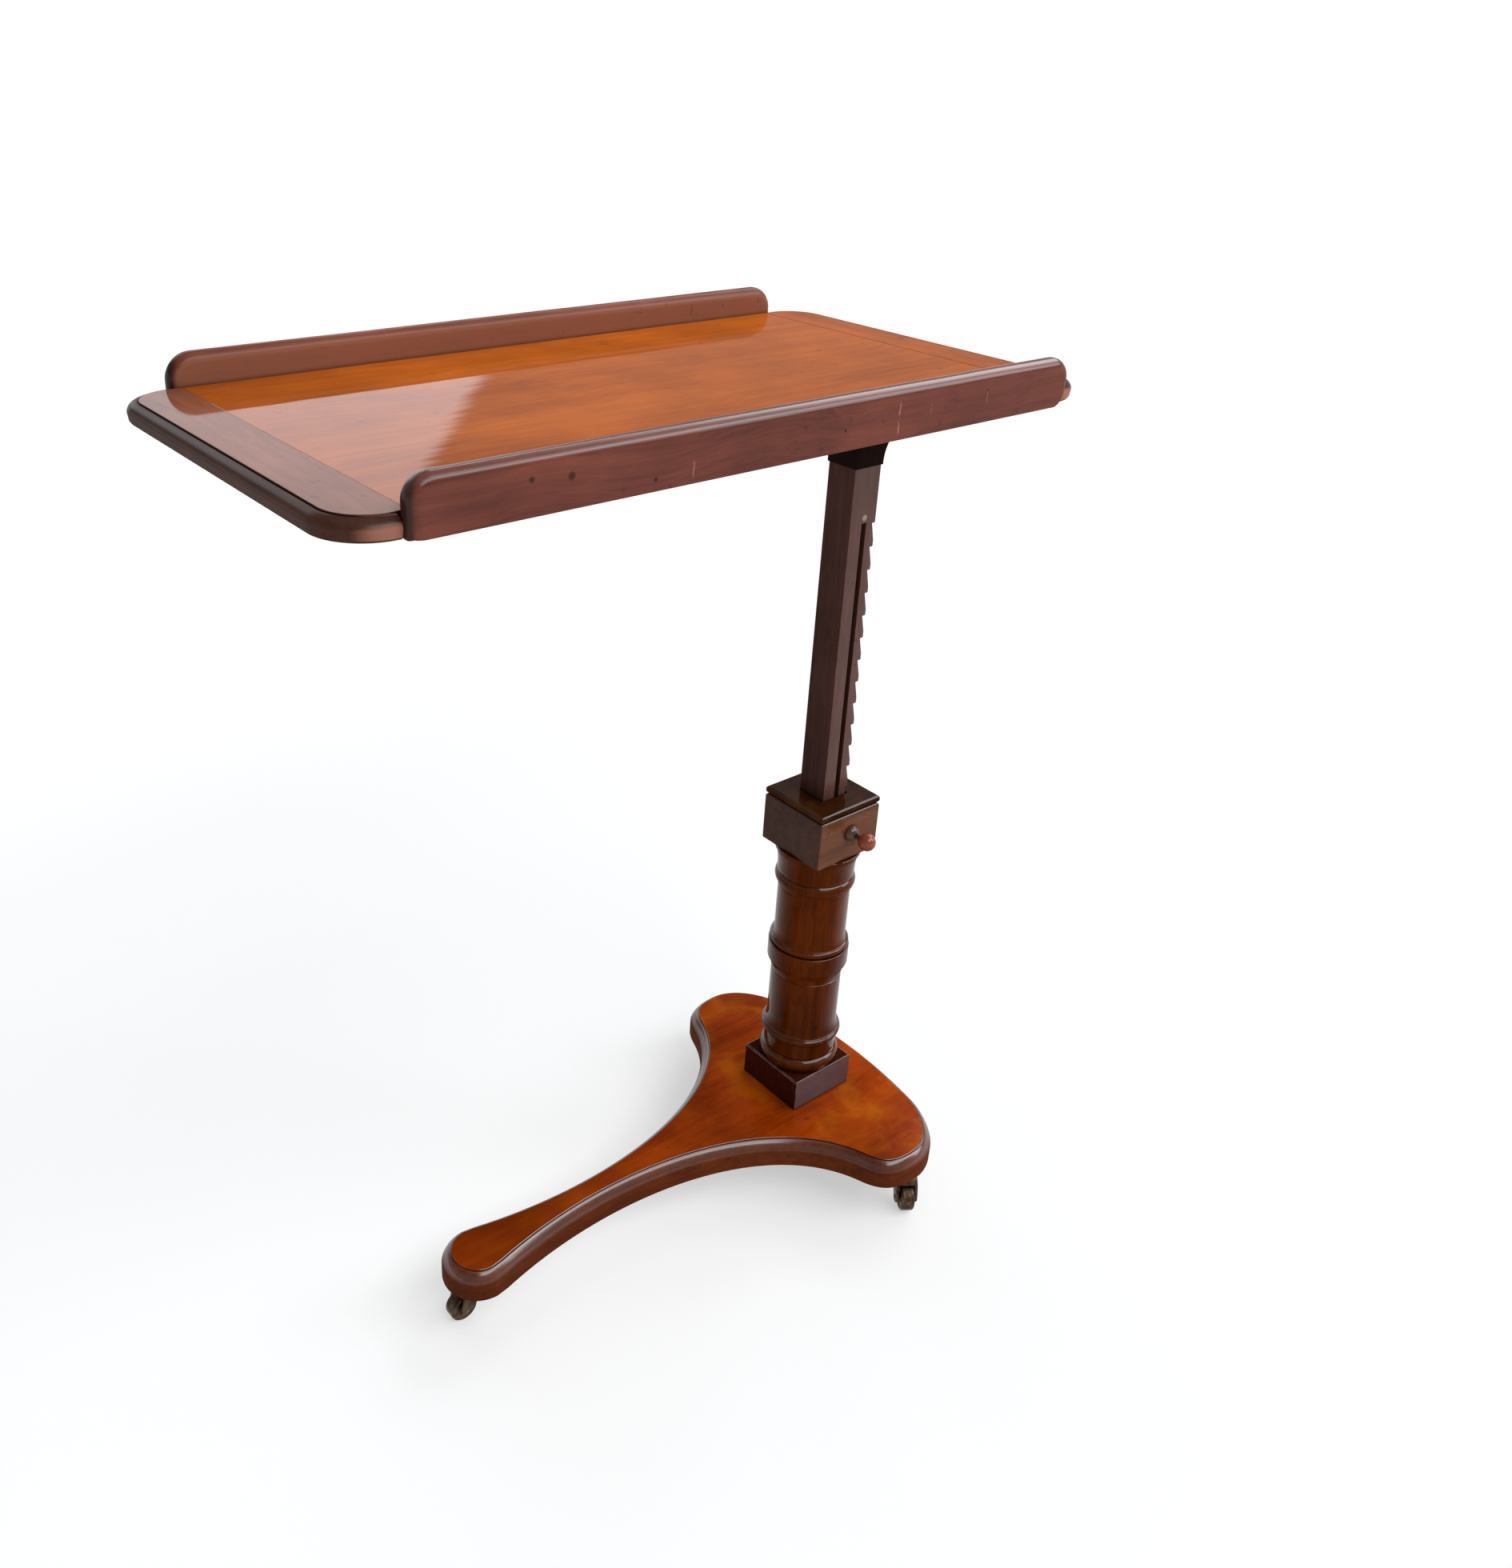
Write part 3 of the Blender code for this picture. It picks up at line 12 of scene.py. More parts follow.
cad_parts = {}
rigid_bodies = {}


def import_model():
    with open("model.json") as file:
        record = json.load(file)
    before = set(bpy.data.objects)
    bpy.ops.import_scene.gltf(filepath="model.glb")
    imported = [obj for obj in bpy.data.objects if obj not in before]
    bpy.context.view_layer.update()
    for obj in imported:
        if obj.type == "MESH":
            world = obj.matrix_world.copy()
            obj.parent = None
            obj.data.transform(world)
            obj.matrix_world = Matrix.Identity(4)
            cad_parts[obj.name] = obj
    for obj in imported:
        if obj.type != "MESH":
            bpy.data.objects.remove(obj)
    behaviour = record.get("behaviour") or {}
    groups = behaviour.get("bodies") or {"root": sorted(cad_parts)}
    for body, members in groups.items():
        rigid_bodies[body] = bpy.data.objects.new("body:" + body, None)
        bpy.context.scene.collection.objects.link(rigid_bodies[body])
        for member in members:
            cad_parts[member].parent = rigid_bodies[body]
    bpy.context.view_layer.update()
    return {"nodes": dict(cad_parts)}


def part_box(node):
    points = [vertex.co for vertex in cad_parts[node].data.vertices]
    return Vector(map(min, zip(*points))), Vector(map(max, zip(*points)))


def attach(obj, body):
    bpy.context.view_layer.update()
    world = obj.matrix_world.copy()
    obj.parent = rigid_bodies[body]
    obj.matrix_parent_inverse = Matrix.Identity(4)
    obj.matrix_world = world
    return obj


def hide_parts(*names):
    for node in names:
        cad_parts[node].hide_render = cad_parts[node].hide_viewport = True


for item in list(bpy.data.objects):
    bpy.data.objects.remove(item, do_unlink=True)
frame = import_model()

# Sizes that the solids don't give as a box
GAP = 0.0003
TONGUE_REACH = 0.0087
NOSE_INSET = 0.010
NOSE_STEP = 0.0011
CORNER_RADIUS = 0.046
LEDGE_THICKNESS = 0.020
LEDGE_END_RADIUS = 0.020
BACK_LEDGE_END_RADIUS = 0.024
LEDGE_FOOT_RADIUS = 0.003
LEDGE_NOSE = 0.009
CAPITAL_COVE = 0.036
CAPITAL_RIM = 0.041
POST_HALF = 0.019
HOLE_HALF = POST_HALF + 0.0005
RACK_PITCH = 0.0266
RACK_DEPTH = 0.0042
RACK_SLOPE = 0.019
RACK_FIRST = 0.4566
RACK_BELOW = 1
RACK_ABOVE = 14
GROOVE_WIDTH = 0.0068
GROOVE_DEPTH = 0.0075
GROOVE_FOOT = 0.4145
GROOVE_TOP = 0.831
KNOB_OFFSET = 0.002
SPIGOT_RADIUS = 0.036
SPIGOT_LENGTH = 0.010
SEAT_RADIUS = SPIGOT_RADIUS + GAP
COLUMN_BORE = 0.0285
DRUM_RADIUS = 0.0428
RING_RADIUS = 0.0486
NECK_RADIUS = 0.0505
BEAD_RADIUS = 0.0095
BEAD_LEVEL = 0.388
BASE_EDGE_ROUND = 0.0105
BASE_EDGE_STEP = 0.0011
BASE_EDGE_DROP = 0.0145
BASE_EDGE_CURVE = 1.45
CASTOR_TRAIL = 0.020
WHEEL_RADIUS = 0.016
WHEEL_WIDTH = 0.017
CASTORS = {"foot": 180.0, "front": -124.0, "back": 60.0}

# Holes: (radius, height) pairs along each cutter's axis
PEG_HOLE = ((0.0048, 0.0), (0.0048, 0.12))
BOSS_HOLE = ((0.0063, 0.0), (0.0063, 0.0163), (0.0033, 0.0163), (0.0033, 0.05))
AXLE_HOLE = ((0.00275, 0.0), (0.00275, 0.04))
BEARER_SINK = ((0.0052, -0.002), (0.0052, 0.0006), (0.0024, 0.0036), (0.0024, 0.03))
BASE_SINK = ((0.0052, -0.002), (0.0052, 0.0006), (0.0026, 0.0036), (0.0026, 0.03))
PLATE_SINK = ((0.0034, -0.001), (0.0034, 0.0003), (0.0018, 0.0021), (0.0018, 0.006))
PINTLE_HOLE = ((0.0057, -0.002), (0.0057, 0.0145))

# Pintle: (radius, height) pairs from the fork's top
PINTLE = ((0.0050, -0.002), (0.0050, 0.017), (0.0040, 0.018))

# Screws: head radius, shank radius, head height
WOOD_SCREW = (0.0046, 0.0022, 0.0030)
CASTOR_SCREW = (0.0030, 0.0014, 0.0018)

# Chips out of the ledges' lower edges: X, half width, depth
FRONT_CHIPS = ((-0.292, 0.006, 0.0011), (-0.280, 0.004, 0.0007), (0.05, 0.004, 0.0006), (0.21, 0.005, 0.0008))
BACK_CHIPS = ((0.12, 0.005, 0.0007),)

PLINTH_LOW, PLINTH_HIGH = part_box("plinth")
COLUMN_X = (PLINTH_LOW.x + PLINTH_HIGH.x) / 2
PANEL_LOW, PANEL_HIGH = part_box("top_panel")
BOARD_TOP = PANEL_HIGH.z
BOARD_UNDER = PANEL_LOW.z
LEDGE_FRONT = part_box("front_ledge")[0].y

# Wood: scales of the figure, along the grain and across it
BAND_GRAIN = (1.7, 27.0)
STREAK_GRAIN = (5.0, 130.0)
PORE_GRAIN = (16.0, 520.0)
SWELL_GRAIN = (6.0, 26.0)

# Wood: where each noise begins and ends to show
BAND_RANGE = (0.24, 0.76)
STREAK_RANGE = (0.2, 0.8)
FINE_RANGE = (0.3, 0.7)
CLOUD_RANGE = (0.3, 0.7)
PATCH_RANGE = (0.42, 0.68)
PORE_RANGE = (0.62, 0.78)
DENT_RANGE = (0.73, 0.79)
BREAK_RANGE = (0.38, 0.52)
RUB_RANGE = (0.42, 0.62)

# Wood: how strongly its details show
WAVER = 0.04
PORE_SHARE = 0.3
SPOT_SHARE = 0.8
LIT_FRONT_SHARE = 0.75
SCRATCH_WOBBLE = 0.005
SCRATCH_WIDTH = (0.0003, 0.0011)
SCRATCH_END = 0.002

# Wood: upward parts of the normal between which the polish changes
ROUND_START = (0.30, 0.60)
ROUND_END = (0.93, 0.995)
UNDERSIDE = (-0.40, -0.06)
UNDERSIDE_COAT = 0.12

# Painted shade in corners and joints, from ambient occlusion: reach, share, tone
WOOD_CREVICE_SHADE = (0.006, 0.75, (0.006, 0.003, 0.002))
METAL_CREVICE_SHADE = (0.004, 0.8, (0.006, 0.005, 0.004))


# Node graphs

def opaque(rgb):
    return (*rgb, 1.0)


class Graph:
    """The node tree of a material or world, with one short call for each kind of node."""

    def __init__(self, owner):
        owner.use_nodes = True
        self.owner = owner
        self.tree = owner.node_tree
        self.shader = self.tree.nodes.get("Principled BSDF")

    def add(self, kind, inputs=None, **settings):
        made = self.tree.nodes.new(kind)
        for key, value in settings.items():
            setattr(made, key, value)
        for key, value in (inputs or {}).items():
            self.put(made.inputs[key], value)
        return made

    def put(self, socket, value):
        if isinstance(value, bpy.types.NodeSocket):
            self.tree.links.new(value, socket)
        else:
            socket.default_value = value

    def surface(self, **values):
        """Set inputs of the main shader. An underscore in a name stands for a space."""
        for name, value in values.items():
            self.put(self.shader.inputs[name.replace("_", " ")], value)

    def metres(self):
        """Coordinates in metres that ride with the piece."""
        return self.add("ShaderNodeTexCoord").outputs["Object"]

    def axes(self, vector):
        """The parts of a vector along X, Y and Z."""
        return self.add("ShaderNodeSeparateXYZ", {"Vector": vector}).outputs

    def vector(self, operation, a, b, output="Vector"):
        return self.add("ShaderNodeVectorMath", {0: a, 1: b}, operation=operation).outputs[output]

    def stretch(self, vector, grain, scales):
        """Scale coordinates by one number along the grain and by another across it."""
        return self.vector("MULTIPLY", vector, [scales[0] if axis == grain else scales[1] for axis in "XYZ"])

    def noise(self, vector, scale=1.0, detail=3.0, rough=0.55, warp=0.0):
        inputs = {"Vector": vector, "Scale": scale, "Detail": detail, "Roughness": rough, "Distortion": warp}
        return self.add("ShaderNodeTexNoise", inputs).outputs["Fac"]

    def ramp(self, value, edges, to_low=0.0, to_high=1.0):
        """A smooth step between two edge values."""
        low, high = edges
        inputs = {"Value": value, "From Min": low, "From Max": high, "To Min": to_low, "To Max": to_high}
        return self.add("ShaderNodeMapRange", inputs, interpolation_type="SMOOTHSTEP").outputs["Result"]

    def math(self, operation, a, b=0.0):
        return self.add("ShaderNodeMath", {0: a, 1: b}, operation=operation).outputs[0]

    def times(self, a, b):
        return self.math("MULTIPLY", a, b)

    def plus(self, a, b):
        return self.math("ADD", a, b)

    def waver(self, vector, scale, amount):
        """A noise on both sides of 0."""
        return self.times(self.math("SUBTRACT", self.noise(vector, scale, 2.0), 0.5), amount)

    def mix(self, share, a, b, blend="MIX"):
        made = self.add("ShaderNodeMix", {0: share, 6: a, 7: b}, data_type="RGBA", blend_type=blend)
        return made.outputs[2]

    def darken(self, tone, shade):
        grey = self.add("ShaderNodeCombineColor", {0: shade, 1: shade, 2: shade}).outputs[0]
        return self.mix(1.0, tone, grey, "MULTIPLY")

    def bump(self, height, strength, distance):
        inputs = {"Height": height, "Strength": strength, "Distance": distance}
        return self.add("ShaderNodeBump", inputs).outputs["Normal"]

    def shade_crevices(self, tone, reach, share, crevice_shade):
        """Painted shade: darken corners and joints where ambient occlusion finds them, and leave open faces.
        """
        made = self.add("ShaderNodeAmbientOcclusion", {"Distance": reach}, samples=6)
        crevice = self.ramp(made.outputs["AO"], (0.35, 0.8), 1.0, 0.0)
        return self.mix(self.times(crevice, share), tone, opaque(crevice_shade))


def age(g, tone, plain, light, dark, pore, marks=0.4, spots=(), scratches=(), worn=None):
    """Add pores, marks and rubbed places to a wood's tone, and painted shade in its joints."""
    deep = opaque([0.25 * channel for channel in dark])
    tone = g.mix(g.times(pore, PORE_SHARE), tone, deep)
    dents = g.ramp(g.noise(plain, 70.0, 1.0), DENT_RANGE)
    tone = g.mix(g.times(dents, marks), tone, deep)
    for spot, size, mark in spots:
        away = g.vector("DISTANCE", plain, spot, "Value")
        tone = g.mix(g.ramp(away, (0.4 * size, size), SPOT_SHARE, 0.0), tone, opaque(mark))
    if scratches:
        pale = opaque([min(1.0, 1.5 * channel + 0.06) for channel in light])
        place = g.axes(plain)
        x = g.plus(place["X"], g.waver(plain, 95.0, SCRATCH_WOBBLE))
        broken = g.ramp(g.noise(plain, 150.0, 2.0), BREAK_RANGE)
        for middle, low, high, share in scratches:
            line = g.ramp(g.math("ABSOLUTE", g.math("SUBTRACT", x, middle)), SCRATCH_WIDTH, share, 0.0)
            line = g.times(line, g.ramp(place["Z"], (low - SCRATCH_END, low + SCRATCH_END)))
            line = g.times(line, g.ramp(place["Z"], (high - SCRATCH_END, high + SCRATCH_END), 1.0, 0.0))
            tone = g.mix(g.times(line, broken), tone, pale)
    if worn is not None:
        rubbed = g.ramp(g.noise(plain, 45.0, 3.0, 0.6), RUB_RANGE)
        tone = g.mix(rubbed, tone, opaque(worn))
    return g.shade_crevices(tone, *WOOD_CREVICE_SHADE)


def wood(name, light, dark, grain, coat, gloss, figure=0.45, cloud=0.3, mottle=None, x_darkening=None, ends=None,
         lit_fronts=None, rounds=1.0, round_gloss=0.16, flat=0.0, rim=None, polish=1.5, **ageing):
    """Polished mahogany: ribbon figure, streaks, pores and cloudy tone, under a thin coat of polish.

    The coat and its gloss change on rounded upper edges (rounds, round_gloss), and flat is the share
    of that change which level faces keep. The coat thickens towards the outline of turned work (rim).
    It is thin on undersides. Polish is its index of refraction.
    Faces towards X can have a tone of their own (ends), which paints shade, and faces towards -Y too (lit
    fronts), which paints light.
    A darkening along X (start, stop, least share) darkens the wood from its stop back to its start.
    """
    g = Graph(bpy.data.materials.new(name))
    plain = g.metres()
    place = g.axes(plain)
    normal = g.axes(g.add("ShaderNodeNewGeometry").outputs["Normal"])
    bent = g.vector("ADD", plain, g.waver(plain, 5.0, WAVER))
    bands = g.ramp(g.noise(g.stretch(bent, grain, BAND_GRAIN), 1.0, 3.0, 0.5, 0.3), BAND_RANGE)
    streaks = g.ramp(g.noise(g.stretch(bent, grain, STREAK_GRAIN)), STREAK_RANGE)
    fine = g.noise(g.stretch(bent, grain, PORE_GRAIN), 1.0, 2.0, 0.5)
    pore = g.ramp(fine, PORE_RANGE)
    clouds = g.noise(plain, 8.0)
    share = g.plus(g.times(bands, figure), g.times(streaks, 1.0 - figure))
    share = g.plus(share, g.ramp(fine, FINE_RANGE, -0.15, 0.15))
    tone = g.mix(share, opaque(dark), opaque(light))
    if mottle is not None:
        patches = g.ramp(g.noise(plain, 15.0, 4.0, 0.6, 0.5), PATCH_RANGE)
        nearer = g.ramp(place["X"], (COLUMN_X - 0.20, COLUMN_X + 0.06), 0.2, 0.85)
        tone = g.mix(g.times(patches, nearer), tone, opaque(mottle))
    tone = g.darken(tone, g.ramp(clouds, CLOUD_RANGE, 1.0 - cloud, 1.0))
    if x_darkening is not None:
        start, stop, least = x_darkening
        tone = g.darken(tone, g.ramp(place["X"], (start, stop), least, 1.0))
    # Painted shade on faces towards X.
    if ends is not None:
        tone = g.mix(g.ramp(g.math("ABSOLUTE", normal["X"]), (0.45, 0.85)), tone, opaque(ends))
    # Painted light on faces towards -Y.
    if lit_fronts is not None:
        tone = g.mix(g.ramp(normal["Y"], (-0.98, -0.72), LIT_FRONT_SHARE, 0.0), tone, opaque(lit_fronts))
    tone = age(g, tone, plain, light, dark, pore, **ageing)
    tilted = g.times(g.ramp(normal["Z"], ROUND_START), g.ramp(normal["Z"], ROUND_END, 1.0, flat))
    weight = g.times(tilted, rounds - coat)
    if rim is not None:
        facing = g.add("ShaderNodeLayerWeight", {"Blend": 0.5}).outputs["Facing"]
        weight = g.math("MAXIMUM", weight, g.ramp(facing, (0.25, 0.75), 0.0, rim - coat))
    swell = g.noise(g.stretch(plain, grain, SWELL_GRAIN), 1.0, 2.0)
    g.surface(
        Base_Color=tone,
        Roughness=g.plus(g.ramp(clouds, CLOUD_RANGE, 0.30, 0.42), g.times(pore, 0.15)),
        Normal=g.bump(g.math("SUBTRACT", streaks, pore), 0.10, 0.0003),
        Specular_IOR_Level=0.0,
        Coat_Weight=g.times(g.plus(weight, coat), g.ramp(normal["Z"], UNDERSIDE, UNDERSIDE_COAT, 1.0)),
        Coat_Roughness=g.plus(g.times(tilted, round_gloss - gloss), gloss),
        Coat_IOR=polish,
        Coat_Normal=g.bump(swell, 0.10, 0.0012),
    )
    return g.owner


def metal(name, base, bright, rust):
    """Old metal with dull patches, rubbed spots and pitting, and painted shade in its joints."""
    g = Graph(bpy.data.materials.new(name))
    plain = g.metres()
    patches = g.noise(plain, 120.0, 4.0, 0.6)
    fine = g.noise(plain, 900.0, 3.0, 0.6)
    tone = g.mix(g.ramp(patches, (0.40, 0.66)), opaque(base), opaque(bright))
    tone = g.mix(g.times(g.ramp(g.noise(plain, 70.0), (0.5, 0.68)), 0.7), tone, opaque(rust))
    tone = g.shade_crevices(tone, *METAL_CREVICE_SHADE)
    g.surface(
        Base_Color=tone,
        Roughness=g.ramp(patches, (0.3, 0.7), 0.56, 0.34),
        Normal=g.bump(g.plus(fine, patches), 0.25, 0.0003),
        Metallic=1.0,
    )
    return g.owner


# Looks: name, light and dark tones, direction of the grain, weight and roughness of the coat, then the rest

# Scratches: X, lowest and highest Z, share
LEDGE_SCRATCHES = (
    (-0.1114, 1.000, 1.012, 0.5), (0.1109, 1.000, 1.026, 0.8),
    (0.1502, 1.010, 1.021, 0.3), (0.2229, 1.010, 1.021, 0.3),
)
BRUISE = (0.022, 0.00732, 0.0061)
RUBBED = (0.415, 0.293, 0.232)
# Bruises: X, Z, radius
LEDGE_BRUISES = (
    (-0.2234, 1.0191, 0.0042), (-0.2570, 1.0218, 0.0032), (-0.1480, 1.0040, 0.0026), (0.0480, 1.0120, 0.0022),
)
# Spots: place, radius, tone
LEDGE_SPOTS = [((x, LEDGE_FRONT, z), radius, BRUISE) for x, z, radius in LEDGE_BRUISES]
POST_SPOTS = (((COLUMN_X + KNOB_OFFSET, -POST_HALF, GROOVE_TOP + 0.006), 0.0045, RUBBED),)
# The board darkens towards its left end: a painted shadow.
PANEL_LOOK = wood(
    "panel_polish", (0.630, 0.147, 0.0132), (0.440, 0.088, 0.0074), "X", 0.56, 0.035,
    cloud=0.25, x_darkening=(-0.30, -0.14, 0.76),
)
# The left cleat is darker and greyer than the right one, of the same wood: painted shadow and painted glare.
LEFT_CLEAT_SHADED_LOOK = wood("left_cleat_painted_shade_and_glare", (0.329, 0.11, 0.0586), (0.207, 0.0659, 0.0354), "Y", 0.47, 0.06)
RIGHT_CLEAT_LOOK = wood("right_cleat_polish", (0.610, 0.141, 0.0124), (0.420, 0.083, 0.0070), "Y", 0.56, 0.06)
# The cleats' rounded edge takes a darker copy of their wood, painted shade, with lighter faces towards -Y,
# painted light.
NOSE_SHADE_AND_LIGHT_LOOK = wood(
    "nose_painted_shade_and_light", (0.083, 0.0305, 0.0183), (0.0439, 0.0159, 0.00976), "Y", 0.2, 0.12,
    rounds=0.4, round_gloss=0.25, lit_fronts=(0.39, 0.165, 0.112),
)
# The ledge's faces towards X take a dark tone of their own: painted shade.
LEDGE_LOOK = wood(
    "ledge_polish", (0.201, 0.0525, 0.0329), (0.107, 0.0293, 0.0201), "X", 0.32, 0.13,
    marks=0.3, scratches=LEDGE_SCRATCHES, spots=LEDGE_SPOTS, round_gloss=0.26, flat=0.6,
    ends=(0.0415, 0.0146, 0.011),
)
# Its faces towards X take a dark tone, painted shade, and its faces towards -Y a lighter one, painted light.
BACK_LEDGE_LOOK = wood(
    "back_ledge_polish", (0.262, 0.0708, 0.039), (0.152, 0.0415, 0.0244), "X", 0.3, 0.13,
    marks=0.2, rounds=0.35, round_gloss=0.30, ends=(0.0268, 0.00976, 0.00732),
    lit_fronts=(0.287, 0.115, 0.0683),
)
# The post's plain look and its lighter front look are shaded and lit copies of one wood: painted shade on the
# other faces, painted light on the front faces.
POST_LOOK = wood(
    "post_polish", (0.0805, 0.0329, 0.0256), (0.039, 0.0159, 0.0122), "Z", 0.07, 0.22,
    rounds=0.3,
)
POST_LIT_FRONT = wood(
    "post_painted_light_front", (0.128, 0.0573, 0.0439), (0.0756, 0.0329, 0.0256), "Z", 0.5, 0.22,
    spots=POST_SPOTS,
)
POST_ARRIS = wood(
    "post_arris", (0.11, 0.0366, 0.0268), (0.0439, 0.0146, 0.00976), "Z", 0.12, 0.2,
    worn=(0.146, 0.0464, 0.0317),
)
# The collar's plain look and its lighter front look are shaded and lit copies of one wood: painted shade on
# the other faces, painted light on the front faces.
COLLAR_LOOK = wood("collar_polish", (0.0805, 0.0317, 0.0207), (0.0415, 0.0159, 0.011), "X", 0.22, 0.14)
COLLAR_LIT_FRONT = wood("collar_painted_light_front", (0.183, 0.061, 0.0244), (0.0805, 0.0268, 0.0122), "X", 0.3, 0.13)
COLLAR_ARRIS = wood("collar_arris", (0.171, 0.0366, 0.0171), (0.0732, 0.0171, 0.00976), "Z", 0.3, 0.14)
CAP_LOOK = wood(
    "cap_polish", (0.0549, 0.0159, 0.00366), (0.0146, 0.00366, 0.00122), "X", 0.04, 0.10,
    mottle=(0.0854, 0.0268, 0.00732), round_gloss=0.14,
)
COLUMN_LOOK = wood(
    "column_polish", (0.127, 0.0244, 0.00122), (0.0512, 0.00732, 0.00061), "Z", 0.06, 0.09,
    rim=0.66, round_gloss=0.12,
)
# The plinth's plain look and its lighter, bluish front look are shaded and lit copies of one wood: painted
# shade on the other faces, painted light and a painted bluish reflection on the front faces.
PLINTH_LOOK = wood(
    "plinth_polish", (0.0671, 0.011, 0.00488), (0.0342, 0.00488, 0.00244), "X", 0.05, 0.16,
    rounds=0.5,
)
PLINTH_LIT_FRONT = wood("plinth_painted_light_front", (0.128, 0.0756, 0.0781), (0.0976, 0.0537, 0.0586), "X", 0.5, 0.22)
# Lighter, greyer bevelled edges of the plinth: worn arrises, and in part a painted highlight.
PALE_ARRIS = wood(
    "pale_arris", (0.0976, 0.0464, 0.0366), (0.0366, 0.0159, 0.0122), "X", 0.25, 0.2,
    worn=(0.134, 0.0732, 0.061),
)
BASE_LOOK = wood(
    "base_polish", (0.451, 0.0647, 0.00244), (0.232, 0.0244, 0.00122), "X", 0.2, 0.11,
    figure=0.75, cloud=0.5, mottle=(0.512, 0.112, 0.00366),
    x_darkening=(COLUMN_X - 0.36, COLUMN_X - 0.04, 0.74),
)
# The base's moulded edge takes a much darker copy of its wood: painted shade.
BASE_EDGE_SHADED_LOOK = wood(
    "base_edge_painted_shade", (0.14, 0.0293, 0.0061), (0.0708, 0.0122, 0.00244), "X", 0.05, 0.11,
    round_gloss=0.21, polish=1.75,
)
UNDER_LOOK = wood("underside_wood", (0.146, 0.061, 0.0305), (0.0732, 0.0293, 0.0146), "X", 0.03, 0.5)
# Near-black wood for the capital and the bearer under the board: painted shade.
CAPITAL_SHADE_LOOK = wood(
    "capital_painted_shade", (0.0146, 0.0061, 0.00488), (0.00732, 0.00366, 0.00244), "Z", 0.03, 0.25,
    rounds=0.2,
)
KNOB_LOOK = wood(
    "knob_polish", (0.293, 0.0671, 0.0342), (0.171, 0.0342, 0.0171), "Y", 0.5, 0.10,
    round_gloss=0.12,
)
BOSS_LOOK = wood(
    "boss_polish", (0.134, 0.061, 0.039), (0.0732, 0.0317, 0.0207), "Y", 0.5, 0.12,
    round_gloss=0.12,
)
DOWEL_LOOK = wood("dowel_wood", (0.549, 0.342, 0.159), (0.366, 0.207, 0.0854), "Y", 0.0, 0.6, rounds=0.0)
IRON_LOOK = metal("old_iron", (0.0671, 0.061, 0.0549), (0.159, 0.146, 0.134), (0.0854, 0.0366, 0.0183))
BRONZE_LOOK = metal("old_bronze", (0.0561, 0.0366, 0.0244), (0.128, 0.0781, 0.0439), (0.0305, 0.0207, 0.0146))


# Mesh helpers

def numbered(name, count):
    return [f"{name}_{i}" for i in range(1, count + 1)]


def centre_of(node):
    """Middle of a solid's box."""
    low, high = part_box(node)
    return [(a + b) / 2 for a, b in zip(low, high)]


def sideways(x, y, z, turn=math.pi / 2):
    """A frame whose Z axis points to -Y, or with the opposite turn to +Y."""
    return Matrix.Translation((x, y, z)) @ Matrix.Rotation(turn, 4, "X")


def quarter(steps, stop=90.0):
    """Cosine and sine pairs at even steps from 0 to an angle in degrees."""
    angles = [math.radians(stop * i / steps) for i in range(steps + 1)]
    return [(math.cos(a), math.sin(a)) for a in angles]


def arc(centre, radius, start, stop, steps):
    angles = [math.radians(start + (stop - start) * i / steps) for i in range(steps + 1)]
    return [(centre[0] + radius * math.cos(a), centre[1] + radius * math.sin(a)) for a in angles]


def bezier(a, b, c, d, steps):
    """Points of a cubic curve, with its last one left out."""
    points = []
    for i in range(steps):
        t = i / steps
        s = 1 - t
        weighted = list(zip((s ** 3, 3 * s * s * t, 3 * s * t * t, t ** 3), (a, b, c, d)))
        points.append((sum(w * p[0] for w, p in weighted), sum(w * p[1] for w, p in weighted)))
    return points


def along(start, stop, count):
    """Points between two ends, both left out."""
    shares = [i / count for i in range(1, count)]
    return [(start[0] + (stop[0] - start[0]) * t, start[1] + (stop[1] - start[1]) * t) for t in shares]


def loft(bm, loops, closed=False, material=0):
    """Join rings of points, which all have the same count, into one closed body."""
    rings = [[bm.verts.new(point) for point in loop] for loop in loops]
    count = len(rings[0])
    pairs = list(zip(rings, rings[1:]))
    if closed:
        pairs.append((rings[-1], rings[0]))
    faces = []
    for lower, upper in pairs:
        for i in range(count):
            j = (i + 1) % count
            faces.append(bm.faces.new((lower[i], lower[j], upper[j], upper[i])))
    if not closed:
        faces.append(bm.faces.new(rings[0]))
        faces.append(bm.faces.new(rings[-1]))
    for face in faces:
        face.material_index = material


def turned(bm, profile, place, steps, closed=False):
    """A turned body from (radius, height) pairs round the Z axis of a frame."""
    angles = [2 * math.pi * i / steps for i in range(steps)]
    loops = []
    for radius, height in profile:
        loops.append([place @ Vector((radius * math.cos(a), radius * math.sin(a), height)) for a in angles])
    loft(bm, loops, closed)


def bore(cutter, nodes, face_z, profile, steps):
    """Turned holes in a level face, in the middle of each of some solids."""
    for node in nodes:
        x, y, _ = centre_of(node)
        turned(cutter, profile, Matrix.Translation((x, y, face_z)), steps)


def rectangle(low, high, z, inset=0.0):
    """Corners of a level rectangle between two points in X and Y."""
    xs = (low[0] + inset, high[0] - inset)
    ys = (low[1] + inset, high[1] - inset)
    return [Vector((xs[i], ys[j], z)) for i, j in ((0, 0), (1, 0), (1, 1), (0, 1))]


def square(size, z):
    """Corners of a level square round the column's axis."""
    half = size / 2
    return rectangle((COLUMN_X - half, -half), (COLUMN_X + half, half), z)


def box(bm, low, high):
    loft(bm, [rectangle(low, high, z) for z in (low[2], high[2])])


